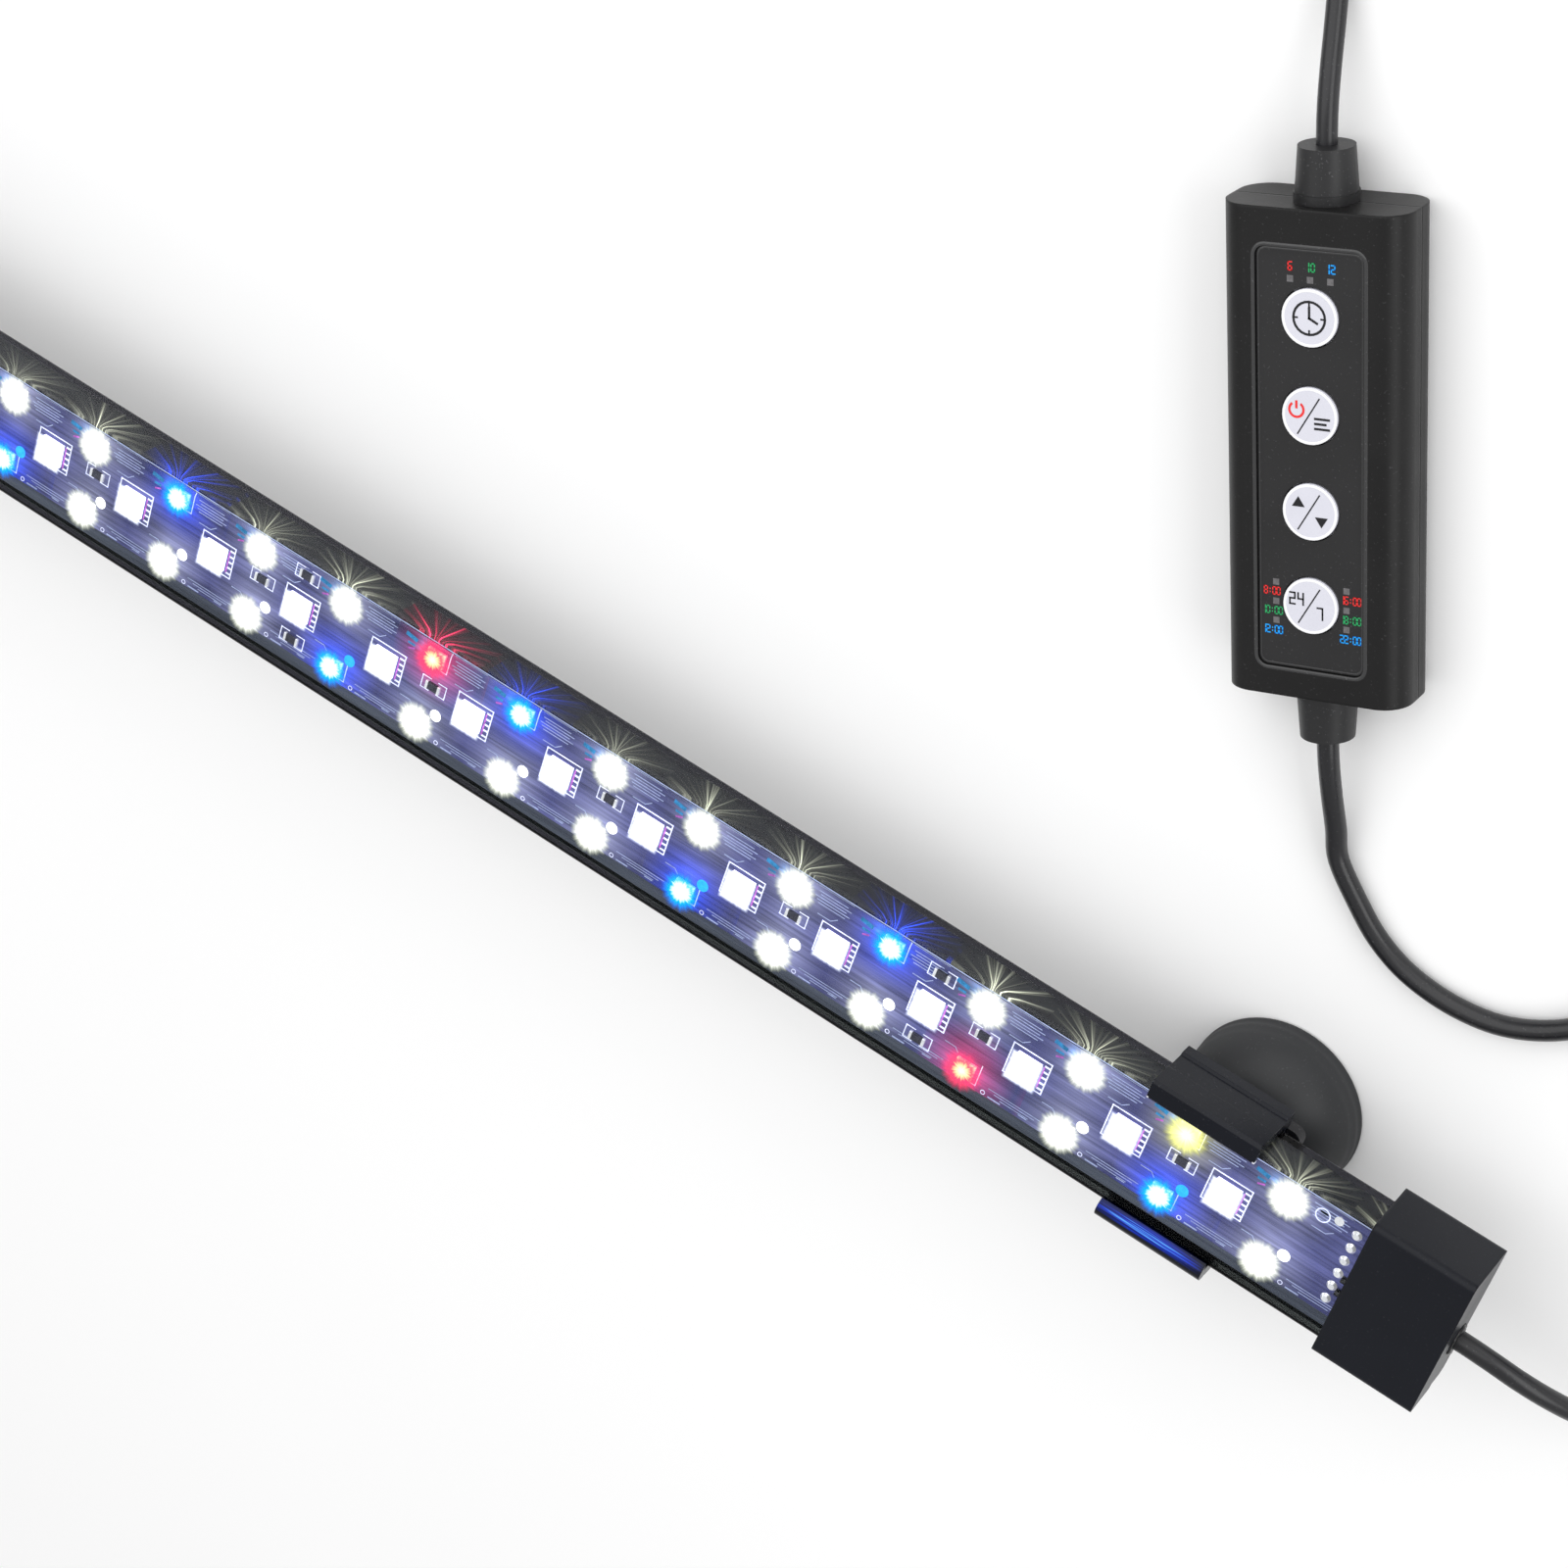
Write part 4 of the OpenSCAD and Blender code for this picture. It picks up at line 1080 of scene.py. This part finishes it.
# %% Case, panel and rim
dress(moulded("controller_plastic", (0.0070, 0.0068, 0.0070), 0.34, 0.5, grain_mm=0.28, patch_mm=11,
    depth_mm=0.022,
    specular=0.26, change=0.35, marks=0.25, round_mm=0.6), "controller_front_shell", "controller_back_shell")
dress(moulded("panel_film", (0.019, 0.0187, 0.0195), 0.38, 0.52, grain_mm=0.22, patch_mm=16, depth_mm=0.012,
    specular=0.28, change=0.22, marks=0.35), "control_panel")
PANEL_Y = -0.6


def round_box(half_w, half_l, r):
    w, l = half_w - r, half_l - r
    return [on_circle((x, PANEL_Y + y), r, start + 15*k)
        for x, y, start in [(w, l, 0), (-w, l, 90), (-w, -l, 180), (w, -l, 270)] for k in range(7)]


def rim_piece(name, rings, finish, body="light"):
    points = [tuple(on_box(x, y, z)) for outline, z in rings for x, y in outline]
    n = len(rings[0][0])
    faces = [(n*r + k, n*r + (k + 1)%n, n*(r + 1) + (k + 1)%n, n*(r + 1) + k)
        for r in range(len(rings) - 1) for k in range(n)]
    made = piece(name, points, faces, body=body, smooth=True)
    made.data.materials.append(finish)


# Painted highlight: the rims are lighter and shinier than the case they belong to
rim_highlight_finish = moulded("case_rim_highlight", (0.030, 0.030, 0.031), 0.18, 0.3, specular=0.6, depth_mm=0.004)
rim_piece("recess_rim", [(round_box(10.15, 36.85, 2.4), 14.50), (round_box(10.0, 36.7, 2.3), 14.60),
    (round_box(9.75, 36.45, 2.0), 14.62), (round_box(9.52, 36.22, 1.75), 14.52)], rim_highlight_finish)
rim_piece("film_rim", [(round_box(9.25, 35.95, 1.5), 14.03), (round_box(9.1, 35.8, 1.4), 14.07),
    (round_box(8.95, 35.65, 1.3), 14.03)], rim_highlight_finish)
print("rims: recess_rim, film_rim")

# %% [markdown]
# ## The buttons
# Each button is a white cap. A thin ring of brighter white runs round its edge, a painted highlight on a real
# rim, and a dark line shows the gap round it. Every ring and mark rides on its own button, so it goes down
# when the button is pressed.

# %% Buttons and their edges
button_finish = moulded("button_white", (0.66, 0.66, 0.73), 0.32, 0.45, grain_mm=0.3, patch_mm=5,
    depth_mm=0.004,
    change=0.05, marks=0.2)
# Painted highlight: the edge ring is brighter white than the button
edge_highlight_finish = moulded("button_edge_highlight", (0.93, 0.93, 0.95), 0.2, 0.3, grain_mm=0.4, depth_mm=0.003, change=0.04,
    marks=0.1)
BUTTONS = {"timer_button": 24.2, "power_button": 7.7, "level_button": -8.8, "day_button": -25.3}
dress(button_finish, *BUTTONS)
for name, y in BUTTONS.items():
    rings = [([on_circle((0, y), r, 9*k) for k in range(40)], z)
        for r, z in [(4.84, 14.40), (4.74, 14.47), (4.5, 14.48), (4.36, 14.41)]]
    rim_piece(name + "_edge", rings, edge_highlight_finish, body=name)
print("buttons:", len(BUTTONS))

# %% [markdown]
# ## Signs on the buttons
# Plain signs stand for what each button does: a clock, a power sign with a list of modes, up and down, and
# round the clock. They are printed ink, drawn with the same pen as the board, in the controller's own frame.

# %% Draw the signs
black_ink = ink("mark_black", (0.012, 0.012, 0.014), uneven=0.3)
# The red, green and blue inks glow faintly: painted light that keeps their colours bright
red_glowing_ink = ink("mark_red", (0.72, 0.03, 0.03), glow=0.12, uneven=0.2)
green_glowing_ink = ink("mark_green", (0.02, 0.30, 0.10), glow=0.25, uneven=0.2)
blue_glowing_ink = ink("mark_blue", (0.01, 0.32, 0.80), glow=0.15, uneven=0.2)
BUTTON_TOP, FILM_TOP = 14.43, 14.03
SLASH = (-2.1, -3.1), (1.7, 3.1), 0.24
SEGMENTS = {0: "abcdef", 1: "bc", 2: "abged", 4: "fgbc", 6: "afgedc", 7: "abc", 8: "abcdefg"}


def numeral(pen, x, y, w, h, digit, stroke):
    l, r, t, m, b = x - w/2, x + w/2, y + h/2, y, y - h/2
    ends = {"a": ((l, t), (r, t)), "b": ((r, t), (r, m)), "c": ((r, m), (r, b)), "d": ((l, b), (r, b)),
        "e": ((l, m), (l, b)), "f": ((l, t), (l, m)), "g": ((l, m), (r, m))}
    for segment in SEGMENTS[digit]:
        pen.line(*ends[segment], stroke)


def numerals(pen, text, x, y, h, stroke, step=None):
    step = step or h*0.72
    start = x - step*(len(text) - 1)/2
    for k, sign in enumerate(text):
        if sign == ":":
            pen.line((start + step*k, y + h*0.2), (start + step*k, y + h*0.22), stroke)
            pen.line((start + step*k, y - h*0.22), (start + step*k, y - h*0.2), stroke)
        else:
            numeral(pen, start + step*k, y, h*0.45, h, int(sign), stroke)


def button_pen(name):
    y0 = BUTTONS[name]
    return Pen(BUTTON_TOP, lambda x, y, z: on_box(x, y + y0, z))


clock = button_pen("timer_button")
clock.ring((0, 0), 2.75, 0.42)
clock.path([(0, 1.75), (0, 0), (1.35, -0.75)], 0.42)
for a in range(0, 360, 90):
    x, y = on_circle((0, 0), 1, a)
    clock.line((2.1*x, 2.1*y), (2.45*x, 2.45*y), 0.3)
clock.draw("timer_sign", black_ink, "mark_black", body="timer_button")

power = button_pen("power_button")
power.ring((-2.3, 0.95), 1.25, 0.42, start=125, end=415)
power.line((-2.3, 1.35), (-2.3, 2.3), 0.42)
power.draw("power_sign", red_glowing_ink, "mark_red", body="power_button")
mode = button_pen("power_button")
mode.line(*SLASH)
for k, length in enumerate([2.4, 1.8, 2.4]):
    mode.line((1.0, -0.3 - 0.85*k), (1.0 + length, -0.3 - 0.85*k), 0.4)
mode.draw("mode_sign", black_ink, "mark_black", body="power_button")

level_sign = button_pen("level_button")
level_sign.line(*SLASH)
level_sign.shape([(-3.2, 0.8), (-0.9, 0.8), (-2.05, 2.6)])
level_sign.shape([(0.9, -0.7), (2.05, -2.5), (3.2, -0.7)])
level_sign.draw("level_sign", black_ink, "mark_black", body="level_button")

day = button_pen("day_button")
day.line(*SLASH)
numerals(day, "24", -2.45, 1.1, 2.0, 0.3, step=1.5)
numerals(day, "7", 1.75, -1.1, 2.0, 0.3)
day.draw("day_sign", black_ink, "mark_black", body="day_button")
print("signs drawn")

# %% [markdown]
# ## Hours on the panel
# Small coloured numbers name the hours beside the windows, like the numbers on a dial.

# %% Draw the hours
# The hour inks glow faintly with painted light
for finish, slot, top, left, right, row in [(red_glowing_ink, "mark_red", "6", "8:00", "16:00", 0),
        (green_glowing_ink, "mark_green", "10", "10:00", "18:00", 1),
        (blue_glowing_ink, "mark_blue", "12", "12:00", "22:00", 2)]:
    hours = Pen(FILM_TOP, on_box)
    numerals(hours, top, -3.5 + 3.5*row, 32.5, 1.35, 0.22)
    numerals(hours, left, -7.0, -23.5 - 3.45*row, 1.3, 0.20, step=0.76)
    numerals(hours, right, 7.05, -23.5 - 3.45*row, 1.3, 0.20, step=0.76)
    hours.draw("hours_" + slot, finish, slot)
window_finish = moulded("window_grey", (0.13, 0.125, 0.13), 0.3, 0.5, grain_mm=0.25, patch_mm=0.7, change=0.5,
    depth_mm=0.05)
dress(window_finish, "indicator_windows")
print("hours drawn")

# %% [markdown]
# ## What is inside and behind
# The last pieces are seldom seen: the controller's board and its parts, the screws on the back, and
# the supply socket. They still get honest finishes: green mask with faint tracks, tinned metal, black epoxy.

# %% Inner and metal finishes
mask, tree, shader = new_finish("green_board", roughness=0.4)
skin = use_group(tree, moulded_skin, Colour=(0.01, 0.085, 0.03, 1), Grain_mm=0.5, Patch_mm=4.0,
    Shade_change=0.5)
lines = (stretched_noise(tree, 6.0, 0.7) > 0.55)*0.6 + 1.0
fill(shader.inputs, {"Base Color": scaled(skin["Colour"], lines)})
dress(mask, "controller_board")
for finish, names in [
        (metal("screw_steel", (0.55, 0.56, 0.58), 0.22, 0.42), ["controller_screws"]),
        (metal("contact_metal", (0.62, 0.62, 0.60), 0.15, 0.3), ["connector_sleeve"]),
        (metal("pin_brass", (0.72, 0.52, 0.22), 0.15, 0.32), ["connector_pin"]),
        (metal("switch_metal", (0.52, 0.53, 0.55), 0.3, 0.5), ["tact_switches"]),
        (moulded("chip_black", (0.014, 0.014, 0.015), 0.4, 0.6, grain_mm=0.2),
        ["control_chip", "driver_parts"]),
        (moulded("led_small", (0.62, 0.6, 0.5), 0.3, 0.45, grain_mm=0.4, patch_mm=1.2), ["indicator_leds"]),
        (moulded("connector_plastic", (0.009, 0.009, 0.010), 0.35, 0.5, depth_mm=0.015), ["connector_body"])]:
    dress(finish, *names)
print("finishes in all:", len(bpy.data.materials))

# %% [markdown]
# ## The stage
# A wide white floor lies under the light. A uniform pale sky gives light without hard
# shadows, and three large soft lamps add the long highlights along the cap, the cup and the case.

# %% Floor and light
bpy.ops.mesh.primitive_plane_add(size=8, location=(0, 0, -0.0002))
floor = bpy.context.object
floor.name = "floor"
paper, tree, shader = new_finish("floor_white", roughness=0.8, specular=0.15)
mottle = stretched_noise(tree, 120, 120)*0.02 + 0.94
fill(shader.inputs, {"Base Color": scaled((1.0, 1.0, 1.0), mottle)})
floor.data.materials.append(paper)

world = bpy.context.scene.world or bpy.data.worlds.new("sky")
bpy.context.scene.world = world
world.use_nodes = True
fill(world.node_tree.nodes["Background"].inputs, {"Color": (1.0, 1.0, 1.0, 1), "Strength": 0.6})


def soft_lamp(name, place, aim, size, watts):
    data = bpy.data.lights.new(name, "AREA")
    data.shape = "RECTANGLE"
    data.size, data.size_y = size
    data.energy = watts
    lamp = bpy.data.objects.new(name, data)
    bpy.context.scene.collection.objects.link(lamp)
    lamp.location = place
    lamp.rotation_euler = (Vector(aim) - Vector(place)).to_track_quat("-Z", "Y").to_euler()


soft_lamp("lamp over the bar", (-0.3, 0.5, 1.1), (0.1, 0.05, 0), (2.0, 1.4), 10)
soft_lamp("lamp by the cable end", (0.9, 0.35, 0.5), (0.22, 0.02, 0.02), (1.0, 0.5), 3.4)
soft_lamp("lamp low at the back", (0.1, 1.0, 0.35), (0.18, 0.08, 0.0), (1.2, 0.5), 2.0)
bpy.context.scene.view_settings.view_transform = "Standard"
